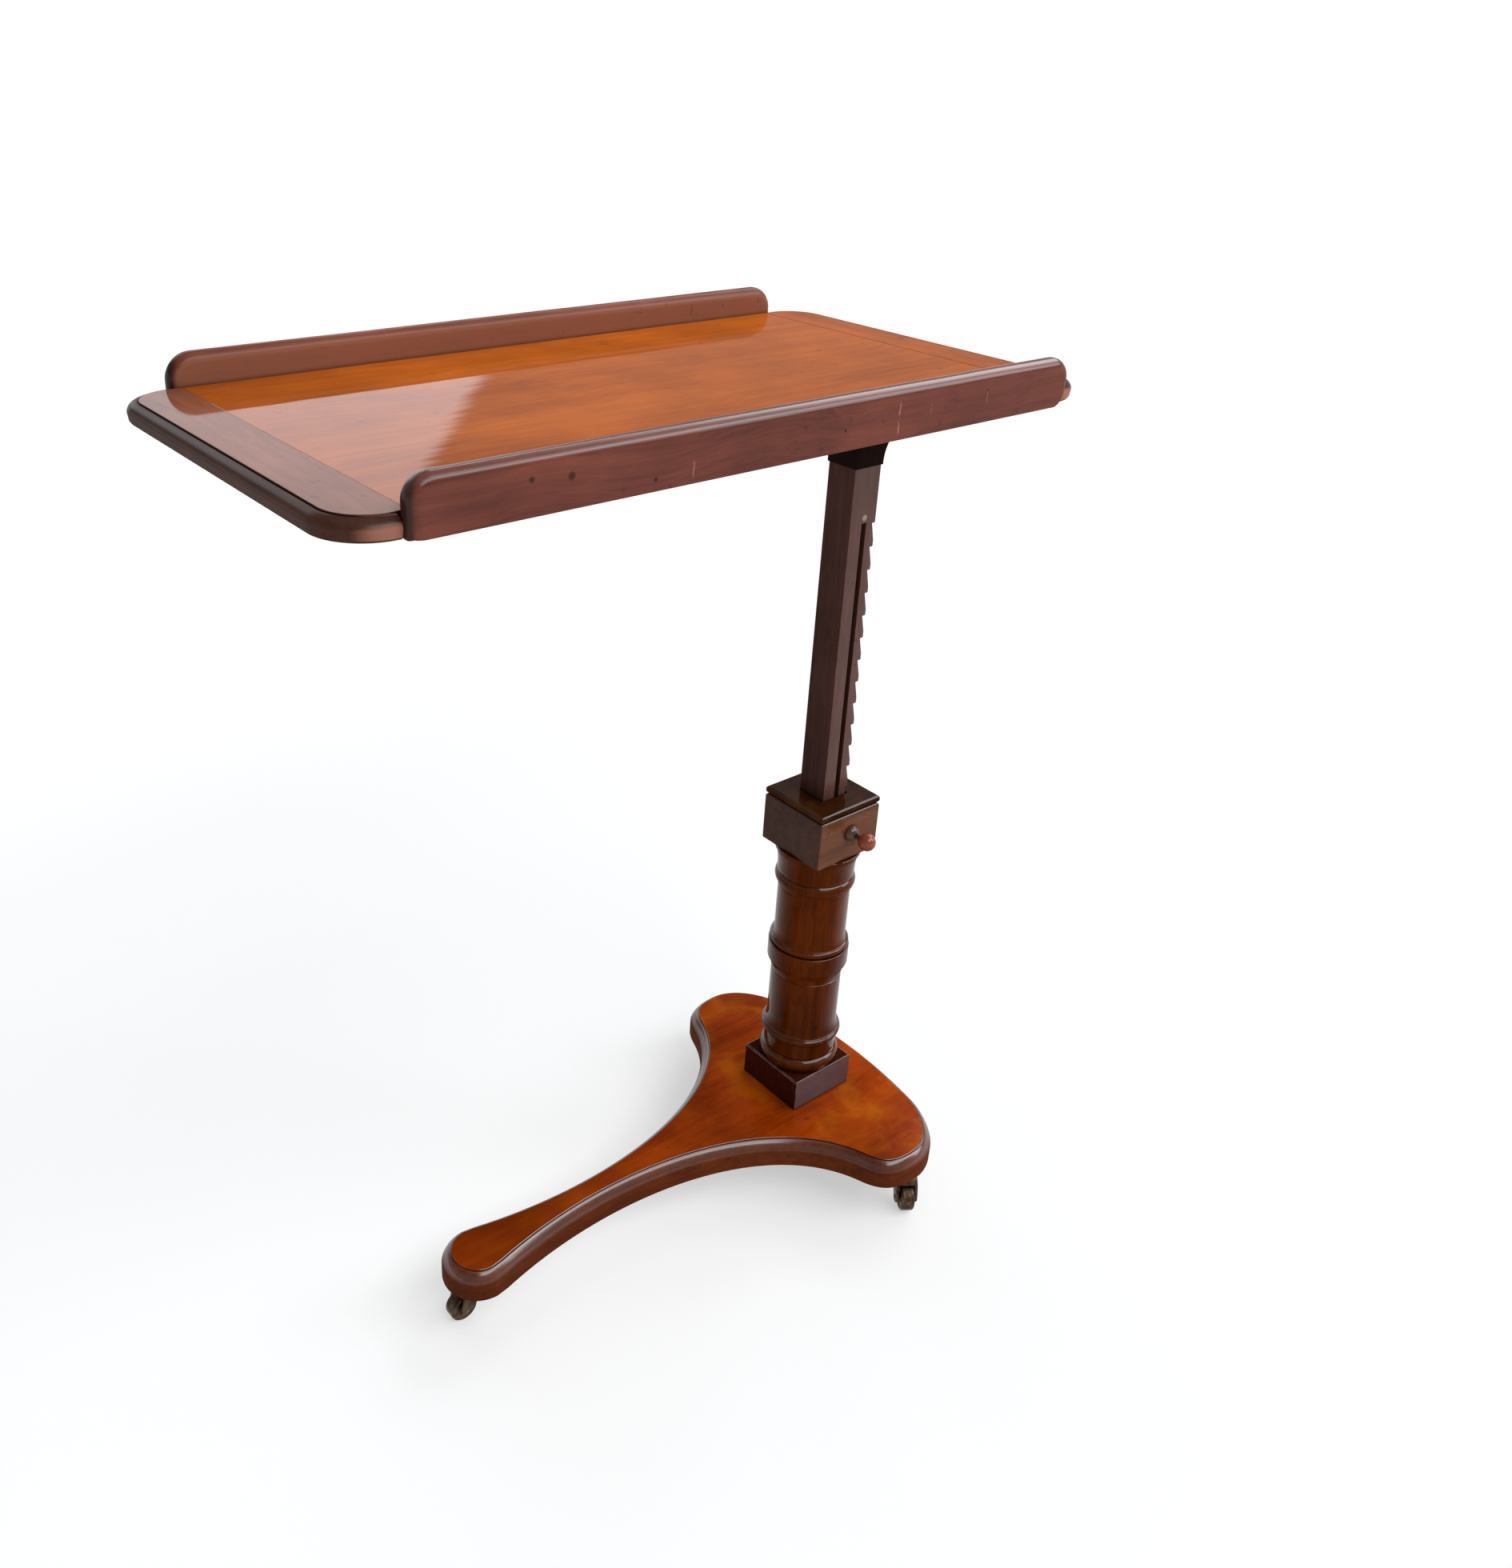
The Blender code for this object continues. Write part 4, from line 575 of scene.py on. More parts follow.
def tube(bm, outer):
    """Square body from (size, height) pairs, with the post's square hole through it."""
    loops = [square(size, z) for size, z in outer]
    loops += [square(2 * HOLE_HALF, outer[-1][1]), square(2 * HOLE_HALF, outer[0][1])]
    loft(bm, loops, closed=True)


def soften(bm, width, segments=2, angle=30.0, material=None):
    """Round the sharp edges, and give the new narrow faces a material of their own."""
    bmesh.ops.recalc_face_normals(bm, faces=bm.faces)
    limit = math.radians(angle)
    sharp = [e for e in bm.edges if len(e.link_faces) == 2 and e.calc_face_angle(0.0) > limit]
    made = bmesh.ops.bevel(bm, geom=sharp, offset=width, segments=segments, profile=0.5, affect="EDGES",
                           clamp_overlap=True)
    if material is not None:
        for face in made["faces"]:
            face.material_index = material


def mesh_from(bm, name):
    bmesh.ops.recalc_face_normals(bm, faces=bm.faces)
    mesh = bpy.data.meshes.new(name)
    bm.to_mesh(mesh)
    bm.free()
    return mesh


def object_from(bm, name):
    made = bpy.data.objects.new(name, mesh_from(bm, name))
    bpy.context.collection.objects.link(made)
    return made


def carve(bm, name, *cuts):
    """Subtract bodies from a bmesh, and return the result as a new bmesh.

    Each cut is a function that builds in a bmesh, followed by its other values.
    """
    work = object_from(bm, name)
    tools = []
    for build, *values in cuts:
        other = bmesh.new()
        build(other, *values)
        tool = object_from(other, name + "_tool")
        tools.append(tool)
        change = work.modifiers.new("cut", "BOOLEAN")
        change.operation = "DIFFERENCE"
        change.solver = "EXACT"
        change.object = tool
    result = bmesh.new()
    evaluated = work.evaluated_get(bpy.context.evaluated_depsgraph_get())
    result.from_mesh(evaluated.to_mesh())
    evaluated.to_mesh_clear()
    for thing in [work] + tools:
        bpy.data.objects.remove(thing, do_unlink=True)
    bmesh.ops.remove_doubles(result, verts=result.verts, dist=1e-6)
    return result


def mark_lit_fronts(bm, y):
    """Give the flat front faces the third look, a lighter copy of the wood: painted light."""
    bm.normal_update()
    for face in bm.faces:
        in_plane = abs(face.calc_center_median().y - y) < 0.0006
        if face.normal.y < -0.9 and in_plane and face.material_index == 0:
            face.material_index = 2


def mark_ends(bm, level):
    """Give the many-sided top of a lofted body its first look and the underside its third."""
    bm.normal_update()
    for face in bm.faces:
        if len(face.verts) > 8:
            face.material_index = 0 if face.calc_center_median().z > level else 2


def piece(name, bm, body, looks, nodes, smooth=35.0):
    """Make a piece from a bmesh. It rides on a body and stands for CAD nodes."""
    made = object_from(bm, name)
    mesh = made.data
    mesh.shade_smooth()
    mesh.set_sharp_from_angle(angle=math.radians(smooth))
    for look in looks:
        mesh.materials.append(look)
    weighted = made.modifiers.new("even_shading", "WEIGHTED_NORMAL")
    weighted.keep_sharp = True
    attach(made, body)
    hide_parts(*nodes)


# Board

def make_panel():
    bm = bmesh.new()
    low = (PANEL_LOW.x + TONGUE_REACH, PANEL_LOW.y, PANEL_LOW.z)
    box(bm, low, (PANEL_HIGH.x - TONGUE_REACH, PANEL_HIGH.y, PANEL_HIGH.z))
    soften(bm, width=0.0006)
    for face in bm.faces:
        if face.normal.z < -0.5:
            face.material_index = 1
    piece("board_panel", bm, "top", [PANEL_LOOK, UNDER_LOOK], ["top_panel"])


def cleat_outline(node, side, inset):
    """Outline of a cleat in X and Y. The ends of the ledges stand in notches at its inner corners."""
    low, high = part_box(node)
    ledge_low, ledge_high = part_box("front_ledge")
    end, notch_end = (low.x, ledge_low.x - GAP) if side < 0 else (high.x, ledge_high.x + GAP)
    notch = abs(notch_end - end)
    joint = high.x - low.x
    inner = PANEL_HIGH.y
    draw_in = min(inset, high.y - inner - GAP)
    edge = high.y - draw_in
    centre = high.y - CORNER_RADIUS
    points = [(joint, inner), (notch, inner), (notch, edge)]
    points += arc((CORNER_RADIUS, centre), CORNER_RADIUS - draw_in, 90, 180, 28)
    points += arc((CORNER_RADIUS, -centre), CORNER_RADIUS - draw_in, 180, 270, 28)
    points += [(notch, -edge), (notch, -inner), (joint, -inner)]
    return [(end - side * x, y) for x, y in points]


def make_cleat(name, node, side, look):
    thickness = BOARD_TOP - BOARD_UNDER
    nose = thickness - NOSE_STEP
    quirk = nose - 0.0009
    # Inset and height of each level: the eased lower edge, the nose, then the step above it
    levels = [(0.0045, 0.0), (0.0022, 0.0007), (0.0009, 0.0024)]
    for cosine, sine in quarter(12, 86.0):
        levels.append(((NOSE_INSET - 0.0006) * (1 - cosine), nose / 2 + nose / 2 * sine))
    levels += [
        (NOSE_INSET - 0.0004, quirk), (NOSE_INSET, quirk),
        (NOSE_INSET, thickness - 0.0005), (NOSE_INSET + 0.0005, thickness),
    ]
    bm = bmesh.new()
    loops = []
    for inset, height in levels:
        loops.append([Vector((x, y, BOARD_UNDER + height)) for x, y in cleat_outline(node, side, inset)])
    loft(bm, loops, material=1)
    mark_ends(bm, BOARD_UNDER + nose)
    piece(name, bm, "top", [look, NOSE_SHADE_AND_LIGHT_LOOK, UNDER_LOOK], [node], 28.0)


def ledge_outline(inset, low, high, foot_radius, end_radius):
    """Outline of a ledge in X and Z, with extra points along its long edges.

    The inset draws in the top and both ends, and the foot only a little.
    """
    most_rise = 0.0015
    long_steps = 80
    rise = low.z + min(inset, most_rise)
    left_x = low.x + inset
    right_x = high.x - inset
    foot = LEDGE_FOOT_RADIUS
    right_foot = max(foot, foot_radius - inset)
    tip = end_radius - inset
    right = arc((right_x - right_foot, rise + right_foot), right_foot, -90, 0, 12)
    right += arc((right_x - tip, high.z - end_radius), tip, 0, 90, 16)
    left = arc((left_x + tip, high.z - end_radius), tip, 90, 180, 16)
    left += arc((left_x + foot, rise + foot), foot, 180, 270, 6)
    return right + along(right[-1], left[0], long_steps) + left + along(left[-1], right[0], long_steps)


def chip(bm, outer_y, foot_z, chips):
    """Small chips out of the lower outer edge."""
    edge_height = 0.0012
    edge_depth = 0.004
    for vert in bm.verts:
        if abs(vert.co.z - foot_z) > edge_height or abs(vert.co.y - outer_y) > edge_depth:
            continue
        for x, half_width, depth in chips:
            share = 1 - abs(vert.co.x - x) / half_width
            if share > 0:
                vert.co.z += depth * share ** 0.7


def wear(bm):
    """Uneven wear on the upper part of a ledge."""
    start = BOARD_TOP + 0.012
    mean_depth = 0.00025
    for vert in bm.verts:
        waver = noise.noise(Vector((vert.co.x * 14, vert.co.y * 30, vert.co.z * 30)))
        if vert.co.z > start:
            vert.co.z -= mean_depth * (1 + waver)


def make_ledge(node, side, foot_radius, end_radius, look, chips):
    low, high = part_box(node)
    inner, outer = (low.y, high.y) if side > 0 else (high.y, low.y)
    levels = [(LEDGE_NOSE * (1 - sine), LEDGE_NOSE * (1 - cosine)) for cosine, sine in quarter(9)]
    far = [(inset, LEDGE_THICKNESS - depth) for inset, depth in reversed(levels)]
    bm = bmesh.new()
    loops = []
    for inset, depth in levels + far:
        y = inner + side * depth
        loops.append([Vector((x, y, z)) for x, z in ledge_outline(inset, low, high, foot_radius, end_radius)])
    loft(bm, loops)
    chip(bm, outer, low.z, chips)
    wear(bm)
    piece(f"{node}_rail", bm, "top", [look], [node])


def make_bearer():
    low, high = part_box("top_bearer")
    chamfer = 0.008
    levels = ((chamfer, low.z), (0.0, low.z + chamfer), (0.0, high.z))
    bm = bmesh.new()
    loft(bm, [rectangle(low, high, z, inset) for inset, z in levels])
    soften(bm, width=0.0007)
    bm = carve(bm, "bearer_work", (bore, numbered("bearer_screw", 4), low.z, BEARER_SINK, 32))
    piece("bearer_board", bm, "top", [CAPITAL_SHADE_LOOK], ["top_bearer"])


def make_capital():
    low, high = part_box("post_capital")
    size = high.x - low.x
    flare = size - CAPITAL_RIM
    cove_top = low.z + CAPITAL_COVE
    inner = 2 * (POST_HALF + GAP)
    outer = [(CAPITAL_RIM, low.z), (CAPITAL_RIM, low.z + 0.0012)]
    for cosine, sine in quarter(18)[1:]:
        outer.append((CAPITAL_RIM + flare * (1 - cosine), low.z + CAPITAL_COVE * sine))
    outer += [(size - 0.0016, cove_top + 0.001), (size, cove_top + 0.003), (size, high.z)]
    outer += [(inner, high.z), (inner, low.z)]
    bm = bmesh.new()
    loft(bm, [square(width, z) for width, z in outer], closed=True)
    soften(bm, width=0.0006, angle=40.0)
    peg_place = sideways(COLUMN_X, 0.06, centre_of("post_peg")[2])
    bm = carve(bm, "capital_work", (turned, PEG_HOLE, peg_place, 32))
    piece("capital_block", bm, "top", [CAPITAL_SHADE_LOOK], ["post_capital"])


def make_post():
    low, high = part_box("post")
    right = POST_HALF
    deep = POST_HALF - RACK_DEPTH
    ease = 0.0007
    shave = 0.0003
    outline = [(-POST_HALF, low.z), (right, low.z)]
    for number in range(-RACK_BELOW, RACK_ABOVE + 1):
        shoulder = RACK_FIRST + number * RACK_PITCH
        outline += [
            (right, shoulder - RACK_SLOPE - ease), (right - shave, shoulder - RACK_SLOPE + ease),
            (deep, shoulder - ease), (deep + shave, shoulder),
            (right - ease, shoulder), (right, shoulder + ease),
        ]
    outline += [(right, high.z), (-POST_HALF, high.z)]
    bm = bmesh.new()
    loft(bm, [[Vector((COLUMN_X + x, y, z)) for x, z in outline] for y in (-POST_HALF, POST_HALF)])
    middle = COLUMN_X + KNOB_OFFSET
    groove_low = (middle - GROOVE_WIDTH / 2, -POST_HALF - GROOVE_DEPTH, GROOVE_FOOT)
    groove_high = (middle + GROOVE_WIDTH / 2, GROOVE_DEPTH - POST_HALF, GROOVE_TOP)
    bm = carve(bm, "post_work", (box, groove_low, groove_high))
    soften(bm, width=0.0005, angle=50.0, material=1)
    mark_lit_fronts(bm, -POST_HALF)
    piece("rack_post", bm, "top", [POST_LOOK, POST_ARRIS, POST_LIT_FRONT], ["post"])


# Stand

def make_collar():
    low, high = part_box("collar_block")
    size = high.x - low.x
    shoulder = 0.0035
    outer = [(size, low.z)]
    for cosine, sine in quarter(6):
        outer.append((size - 2 * shoulder * (1 - cosine), high.z - shoulder * (1 - sine)))
    bm = bmesh.new()
    tube(bm, outer)
    soften(bm, width=0.0009, segments=3, material=1)
    seat = ((SEAT_RADIUS, -0.01), (SEAT_RADIUS, SPIGOT_LENGTH))
    boss_place = sideways(COLUMN_X + KNOB_OFFSET, low.y - 0.01, centre_of("catch_boss")[2], -math.pi / 2)
    plate_low, plate_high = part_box("catch_plate")
    front_y, back_y = -0.0345, -0.0142
    left_play, right_play, height_play = 0.003, 0.0015, 0.0008
    pocket_low = (plate_low.x - left_play, front_y, plate_low.z - height_play)
    pocket_high = (plate_high.x + right_play, back_y, plate_high.z + height_play)
    bm = carve(
        bm, "collar_work", (turned, seat, Matrix.Translation((COLUMN_X, 0, low.z)), 64),
        (turned, BOSS_HOLE, boss_place, 40), (box, pocket_low, pocket_high),
    )
    mark_lit_fronts(bm, low.y)
    piece("collar_box", bm, "stand", [COLLAR_LOOK, COLLAR_ARRIS, COLLAR_LIT_FRONT], ["collar_block"])


def make_collar_cap():
    """The cap is as wide as the collar, and rounded above and below."""
    low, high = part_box("collar_cap")
    collar_low, collar_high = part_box("collar_block")
    size = collar_high.x - collar_low.x
    rounding = 0.0034
    outer = []
    for cosine, sine in quarter(7):
        outer.append((size - 2 * rounding * (1 - sine), low.z + rounding * (1 - cosine)))
    for cosine, sine in quarter(7):
        outer.append((size - 2 * rounding * (1 - cosine), high.z - rounding * (1 - sine)))
    bm = bmesh.new()
    tube(bm, outer)
    soften(bm, width=0.0008, angle=40.0)
    piece("collar_lid", bm, "stand", [CAP_LOOK], ["collar_cap"])


def hollow(radius_low, low, radius_high, high):
    """Quarter of a hollow between two (radius, height) pairs."""
    pairs = []
    for cosine, sine in quarter(12):
        radius = radius_high + (radius_low - radius_high) * (1 - sine)
        pairs.append((radius, high - (high - low) * cosine))
    return pairs


def shift(radius, height, pairs):
    """Move (radius, height) pairs."""
    return [(radius + out, height + rise) for out, rise in pairs]


def column_profile(foot, top):
    """Radius and height pairs of the turned column, from its lower spigot to its upper one."""
    ring = RING_RADIUS
    drum = DRUM_RADIUS
    torus = 0.0085
    roll = foot + 0.0105
    roll_top = roll + torus
    low_ring = roll_top + 0.0215
    low_hollow = low_ring + 0.009
    ring_foot = 0.271
    ring_top = 0.2945
    bead_foot = BEAD_LEVEL - BEAD_RADIUS
    neck = BEAD_LEVEL + BEAD_RADIUS
    neck_foot = drum + 0.0025
    neck_rise = top - 0.004 - neck
    # Lower roll, then the low ring and its hollow
    pairs = [(SPIGOT_RADIUS, foot - SPIGOT_LENGTH), (SPIGOT_RADIUS, foot)]
    pairs += shift(ring, foot, ((-0.0045, 0.0), (-0.0043, 0.0018)))
    pairs += arc((ring - torus, roll), torus, -68, 82, 18)
    pairs += shift(ring, roll_top, ((-0.0068, 0.0002), (-0.0045, 0.0006)))
    pairs += shift(ring, low_ring, ((-0.0045, -0.0004), (-0.0024, 0.0)))
    pairs += arc((ring - 0.0042, low_ring + 0.0045), 0.0042, -62, 62, 10)
    pairs += shift(ring, low_hollow, ((-0.0024, -0.0002),))
    pairs += hollow(ring - 0.0020, low_hollow + 0.0002, drum, low_hollow + 0.018)
    pairs += shift(drum, low_hollow, ((0.0, 0.020),))
    # Middle ring, with a scored line and a swelling below it and a bead above it
    pairs += shift(drum, ring_foot, (
        (0.0, -0.0185), (0.0, -0.0165), (-0.0005, -0.0161), (-0.0005, -0.0155), (0.0002, -0.0150),
        (0.0010, -0.010), (0.0026, -0.0048),
    ))
    pairs += shift(ring, ring_foot, ((-0.0014, -0.0006), (-0.0004, 0.0006), (0.0, 0.002)))
    pairs += shift(ring, ring_top, ((0.0, -0.0012),))
    pairs += arc((ring - 0.0018, ring_top - 0.0006), 0.0018, 5, 80, 6)
    pairs += shift(ring, ring_top, ((-0.0034, 0.0014), (-0.0034, 0.0024)))
    pairs += arc((ring - 0.0045, ring_top + 0.0059), 0.0035, -65, 60, 10)
    pairs += hollow(ring - 0.0037, ring_top + 0.0094, drum, ring_top + 0.0215)
    pairs += shift(drum, ring_top, ((0.0, 0.0235),))
    # Upper roll and the hollow neck
    pairs += shift(drum, bead_foot, (
        (0.0, -0.0052), (0.0, -0.0032), (-0.0003, -0.0022), (-0.0003, -0.0004),
    ))
    pairs += arc((ring - 0.001 - BEAD_RADIUS, BEAD_LEVEL), BEAD_RADIUS, -60, 50, 18)
    pairs += shift(neck_foot, neck, ((-0.0006, -0.0012),))
    for cosine, sine in quarter(12):
        pairs.append((NECK_RADIUS - (NECK_RADIUS - neck_foot) * cosine, neck + neck_rise * sine))
    pairs += shift(NECK_RADIUS, top, ((0.0, -0.0004), (-0.0004, 0.0)))
    return pairs + [(SPIGOT_RADIUS, top), (SPIGOT_RADIUS, top + SPIGOT_LENGTH)]


def make_column():
    low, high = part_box("column")
    profile = column_profile(low.z + SPIGOT_LENGTH, high.z - SPIGOT_LENGTH)
    profile += [(COLUMN_BORE, high.z), (COLUMN_BORE, low.z)]
    bm = bmesh.new()
    turned(bm, profile, Matrix.Translation((COLUMN_X, 0, 0)), 128, closed=True)
    piece("turned_column", bm, "stand", [COLUMN_LOOK], ["column"], 40.0)


def make_plinth():
    low, high = PLINTH_LOW, PLINTH_HIGH
    size = high.x - low.x
    chamfer = 0.0015
    bm = bmesh.new()
    tube(bm, [(size, low.z), (size, high.z - chamfer), (size - 2 * chamfer, high.z)])
    soften(bm, width=0.0007, material=1)
    depth = SPIGOT_LENGTH + GAP
    seat = ((SEAT_RADIUS, -depth), (SEAT_RADIUS, depth))
    bm = carve(bm, "plinth_work", (turned, seat, Matrix.Translation((COLUMN_X, 0, high.z)), 64))
    mark_lit_fronts(bm, low.y)
    piece("plinth_block", bm, "stand", [PLINTH_LOOK, PALE_ARRIS, PLINTH_LIT_FRONT], ["plinth"])


def base_outline():
    """Closed outline of the three-lobed base, from the column's axis."""
    pull = 0.040
    tip = (0.020, 0.1915)
    back = 0.1075
    shoulder = (tip[0] + 0.077, tip[1] - 0.080)
    hip = (tip[0] - 0.058, tip[1] - 0.0365)
    foot_radius = 0.040
    foot = (foot_radius - 0.516, foot_radius)
    waist = (foot[0] + 0.176, -0.005)
    # Ends, pulls and step count of each curve, round one half from the back to the long foot
    curves = (
        ((back, 0.0), (back, pull), (back - 0.1 * pull, shoulder[1] - 0.95 * pull), shoulder, 16),
        (shoulder, (shoulder[0] - 0.15 * pull, tip[1] - 1.05 * pull), (tip[0] + pull, tip[1]), tip, 24),
        (tip, (tip[0] - 0.75 * pull, tip[1]), (hip[0] + 0.25 * pull, hip[1] + 0.725 * pull), hip, 22),
        (hip, (hip[0] - 1.05 * pull, 0.030), waist, (foot[0] + 0.15 * pull, foot[1]), 60),
    )
    half = [point for curve in curves for point in bezier(*curve)]
    half += arc((foot[0], 0.0), foot_radius, 90, 180, 30)
    return half + [(x, -y) for x, y in reversed(half[1:-1])]


def inset_outline(points, inset):
    """Move each point of a closed outline inwards, square to its neighbours."""
    moved = []
    count = len(points)
    for i, (x, y) in enumerate(points):
        before = Vector(points[i - 1])
        after = Vector(points[(i + 1) % count])
        step = (after - before).normalized()
        moved.append((x - step.y * inset, y + step.x * inset))
    return moved


def make_base():
    low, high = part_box("base_platform")
    thickness = high.z - low.z
    side = thickness - BASE_EDGE_STEP
    outline = base_outline()
    # Inset and height of each level: the eased lower edge, the rounded edge, then the step above it
    levels = [(0.003, 0.0), (0.0014, 0.0006), (0.0004, 0.0018), (0.0, 0.0034)]
    for cosine, sine in quarter(20, 87.0):
        inset = (BASE_EDGE_ROUND - 0.0006) * (1 - cosine ** BASE_EDGE_CURVE)
        levels.append((inset, side - BASE_EDGE_DROP * (1 - sine ** BASE_EDGE_CURVE)))
    levels += shift(BASE_EDGE_ROUND, side, ((-0.0003, -0.0006), (0.0, -0.0005)))
    levels += shift(BASE_EDGE_ROUND, thickness, ((0.0001, -0.0004), (0.0006, 0.0)))
    bm = bmesh.new()
    loops = []
    for inset, height in levels:
        ring = inset_outline(outline, inset)
        loops.append([Vector((COLUMN_X + x, y, low.z + height)) for x, y in ring])
    loft(bm, loops, material=1)
    mark_ends(bm, low.z + side)

    def holes(cutter):
        bore(cutter, numbered("base_screw", 4), low.z, BASE_SINK, 32)
        bore(cutter, [f"{place}_castor_plate" for place in CASTORS], low.z, PINTLE_HOLE, 32)

    bm = carve(bm, "base_work", (holes,))
    looks = [BASE_LOOK, BASE_EDGE_SHADED_LOOK, UNDER_LOOK]
    piece("base_board", bm, "stand", looks, ["base_platform"], 30.0)


# Catch

def knob_frame():
    """The knob's axis, from the collar's front face outwards."""
    return sideways(COLUMN_X + KNOB_OFFSET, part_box("collar_block")[0].y, centre_of("catch_boss")[2])


def make_boss():
    hole = 0.0031
    spigot_radius = 0.006
    spigot_depth = 0.006
    radius = 0.0098
    height = 0.0096
    lip = 0.0006
    steps = 16
    start = math.asin(hole / radius)
    profile = [(hole, -spigot_depth), (spigot_radius, -spigot_depth), (spigot_radius, GAP)]
    profile.append((radius - lip, GAP))
    for i in range(steps + 1):
        angle = math.pi / 2 - (math.pi / 2 - start) * i / steps
        profile.append((radius * math.sin(angle), lip + (height - lip) * math.cos(angle)))
    bm = bmesh.new()
    turned(bm, profile, knob_frame(), 48, closed=True)
    piece("boss_bead", bm, "stand", [BOSS_LOOK], ["catch_boss"])


def make_knob():
    centre = 0.0255
    radius = 0.0102
    neck = 0.0046
    neck_end = centre - radius
    socket_radius = 0.00295
    socket_end = neck_end + 0.0119
    steps = 24
    first = math.asin(neck / radius) + 0.06
    last = math.radians(177)
    profile = [(socket_radius, socket_end), (socket_radius, neck_end)]
    profile += shift(neck, neck_end, ((-0.0004, 0.0), (0.0, 0.0003)))
    for i in range(steps + 1):
        angle = first + (last - first) * i / steps
        profile.append((radius * math.sin(angle), centre - radius * math.cos(angle)))
    bm = bmesh.new()
    turned(bm, profile, knob_frame(), 56)
    piece("knob_ball", bm, "catch", [KNOB_LOOK], ["catch_knob"])


# Castors

def castor_frame(place):
    """Frame on the floor under a castor's pintle, with its X towards the wheel."""
    x, y, _ = centre_of(f"{place}_castor_plate")
    return Matrix.Translation((x, y, 0.0)) @ Matrix.Rotation(math.radians(CASTORS[place]), 4, "Z")


def make_plate(place):
    node = f"{place}_castor_plate"
    low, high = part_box(node)
    radius = (high.x - low.x) / 2
    hole = 0.0053
    profile = shift(0.0, low.z, ((hole, 0.0002), (0.0056, 0.0), (0.0092, 0.0), (0.0098, 0.0004)))
    profile += shift(radius, low.z, ((-0.0024, 0.0004), (-0.0010, 0.0009), (-0.0003, 0.0017)))
    profile += shift(radius, high.z, ((0.0, -0.0003), (-0.0003, 0.0)))
    profile.append((hole, high.z))
    bm = bmesh.new()
    turned(bm, profile, castor_frame(place), 72, closed=True)
    bm = carve(bm, "plate_work", (bore, numbered(f"{place}_castor_screw", 3), low.z, PLATE_SINK, 28))
    piece(f"{place}_castor_disc", bm, "stand", [BRONZE_LOOK], [node])


def fork_outline(top):
    """Outline of a fork's cheek in X and Z, from the pintle's axis at the floor."""
    eye = (CASTOR_TRAIL, WHEEL_RADIUS)
    eye_radius = 0.0068
    crown = 0.0115
    curve = 0.012
    left = (-crown, top - 0.004)
    front = (eye[0] - eye_radius, eye[1])
    rear = (eye[0] + eye_radius, eye[1])
    down = bezier(left, (-crown, top - curve), (front[0] - curve / 2, eye[1] + curve), front, 18)
    up = bezier(rear, (rear[0], eye[1] + curve), (eye[0], top - 0.001), (crown, top), 20)
    return [(-crown, top)] + down + arc(eye, eye_radius, 180, 360, 30) + up[1:] + [(crown, top)]


def make_fork(place):
    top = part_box(f"{place}_castor_plate")[0].z - GAP
    half = WHEEL_WIDTH / 2 + 0.001
    outer = half + 0.0035
    slot_low = (-0.06, -half, -0.02)
    slot_high = (0.09, half, 2 * WHEEL_RADIUS + 0.0022)
    bm = bmesh.new()
    loft(bm, [[Vector((x, y, z)) for x, z in fork_outline(top)] for y in (-outer, outer)])
    eye = sideways(CASTOR_TRAIL, 0.02, WHEEL_RADIUS)
    bm = carve(bm, "fork_work", (box, slot_low, slot_high), (turned, AXLE_HOLE, eye, 28))
    soften(bm, width=0.0007, angle=40.0)
    turned(bm, shift(0.0, top, PINTLE), Matrix.Identity(4), 40)
    bm.transform(castor_frame(place))
    piece(f"{place}_castor_horn", bm, f"{place}_castor", [BRONZE_LOOK], [f"{place}_castor_fork"])


def make_wheel(place):
    half = WHEEL_WIDTH / 2
    tyre = 0.0030
    # Radius and height from the wheel's face: the hub, a hollow web, then the rounded tyre
    profile = shift(0.0, -half, (
        (0.0029, 0.0), (0.0058, 0.0), (0.0062, 0.0006), (0.0068, 0.0012),
        (0.0112, 0.0012), (0.0118, 0.0006), (0.0128, 0.0004),
    ))
    profile += arc((WHEEL_RADIUS - tyre, -half + tyre + 0.0004), tyre, 270, 360, 8)
    mirrored = [(radius, -height) for radius, height in reversed(profile)]
    eye = castor_frame(place) @ sideways(CASTOR_TRAIL, 0.0, WHEEL_RADIUS)
    bm = bmesh.new()
    turned(bm, profile + mirrored, eye, 80, closed=True)
    piece(f"{place}_castor_roller", bm, f"{place}_wheel", [BRONZE_LOOK], [f"{place}_castor_wheel"])


# Screws

def make_screw(node, body, kind, turn, upside_down=False):
    """Countersunk wood screw with a slotted head and a thread."""
    head, shank, head_height = kind
    low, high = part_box(node)
    length = high.z - low.z
    ridges = 9
    thread_start = length * 0.4
    thread_end = length - 2 * shank
    step = (thread_end - thread_start) / ridges
    root = shank - 0.0004
    profile = [(head - 0.0003, 0.0), (head, 0.0004), (shank, head_height)]
    for i in range(ridges):
        z = thread_start + (thread_end - thread_start) * i / ridges
        profile += [(root, z + step * 0.3), (shank, z + step * 0.55), (root, z + step * 0.8)]
    profile += [(shank - 0.0003, thread_end), (shank * 0.35, length)]
    bm = bmesh.new()
    turned(bm, profile, Matrix.Identity(4), 28)
    slot_low = (-2 * head, -head * 0.13, -0.001)
    slot_high = (2 * head, head * 0.13, head * 0.3)
    bm = carve(bm, f"slotted_{node}_work", (box, slot_low, slot_high))
    x, y, _ = centre_of(node)
    at = Matrix.Translation((x, y, high.z if upside_down else low.z))
    if upside_down:
        at = at @ Matrix.Rotation(math.pi, 4, "X")
    bm.transform(at @ Matrix.Rotation(turn, 4, "Z"))
    piece(f"slotted_{node}", bm, body, [IRON_LOOK], [node])


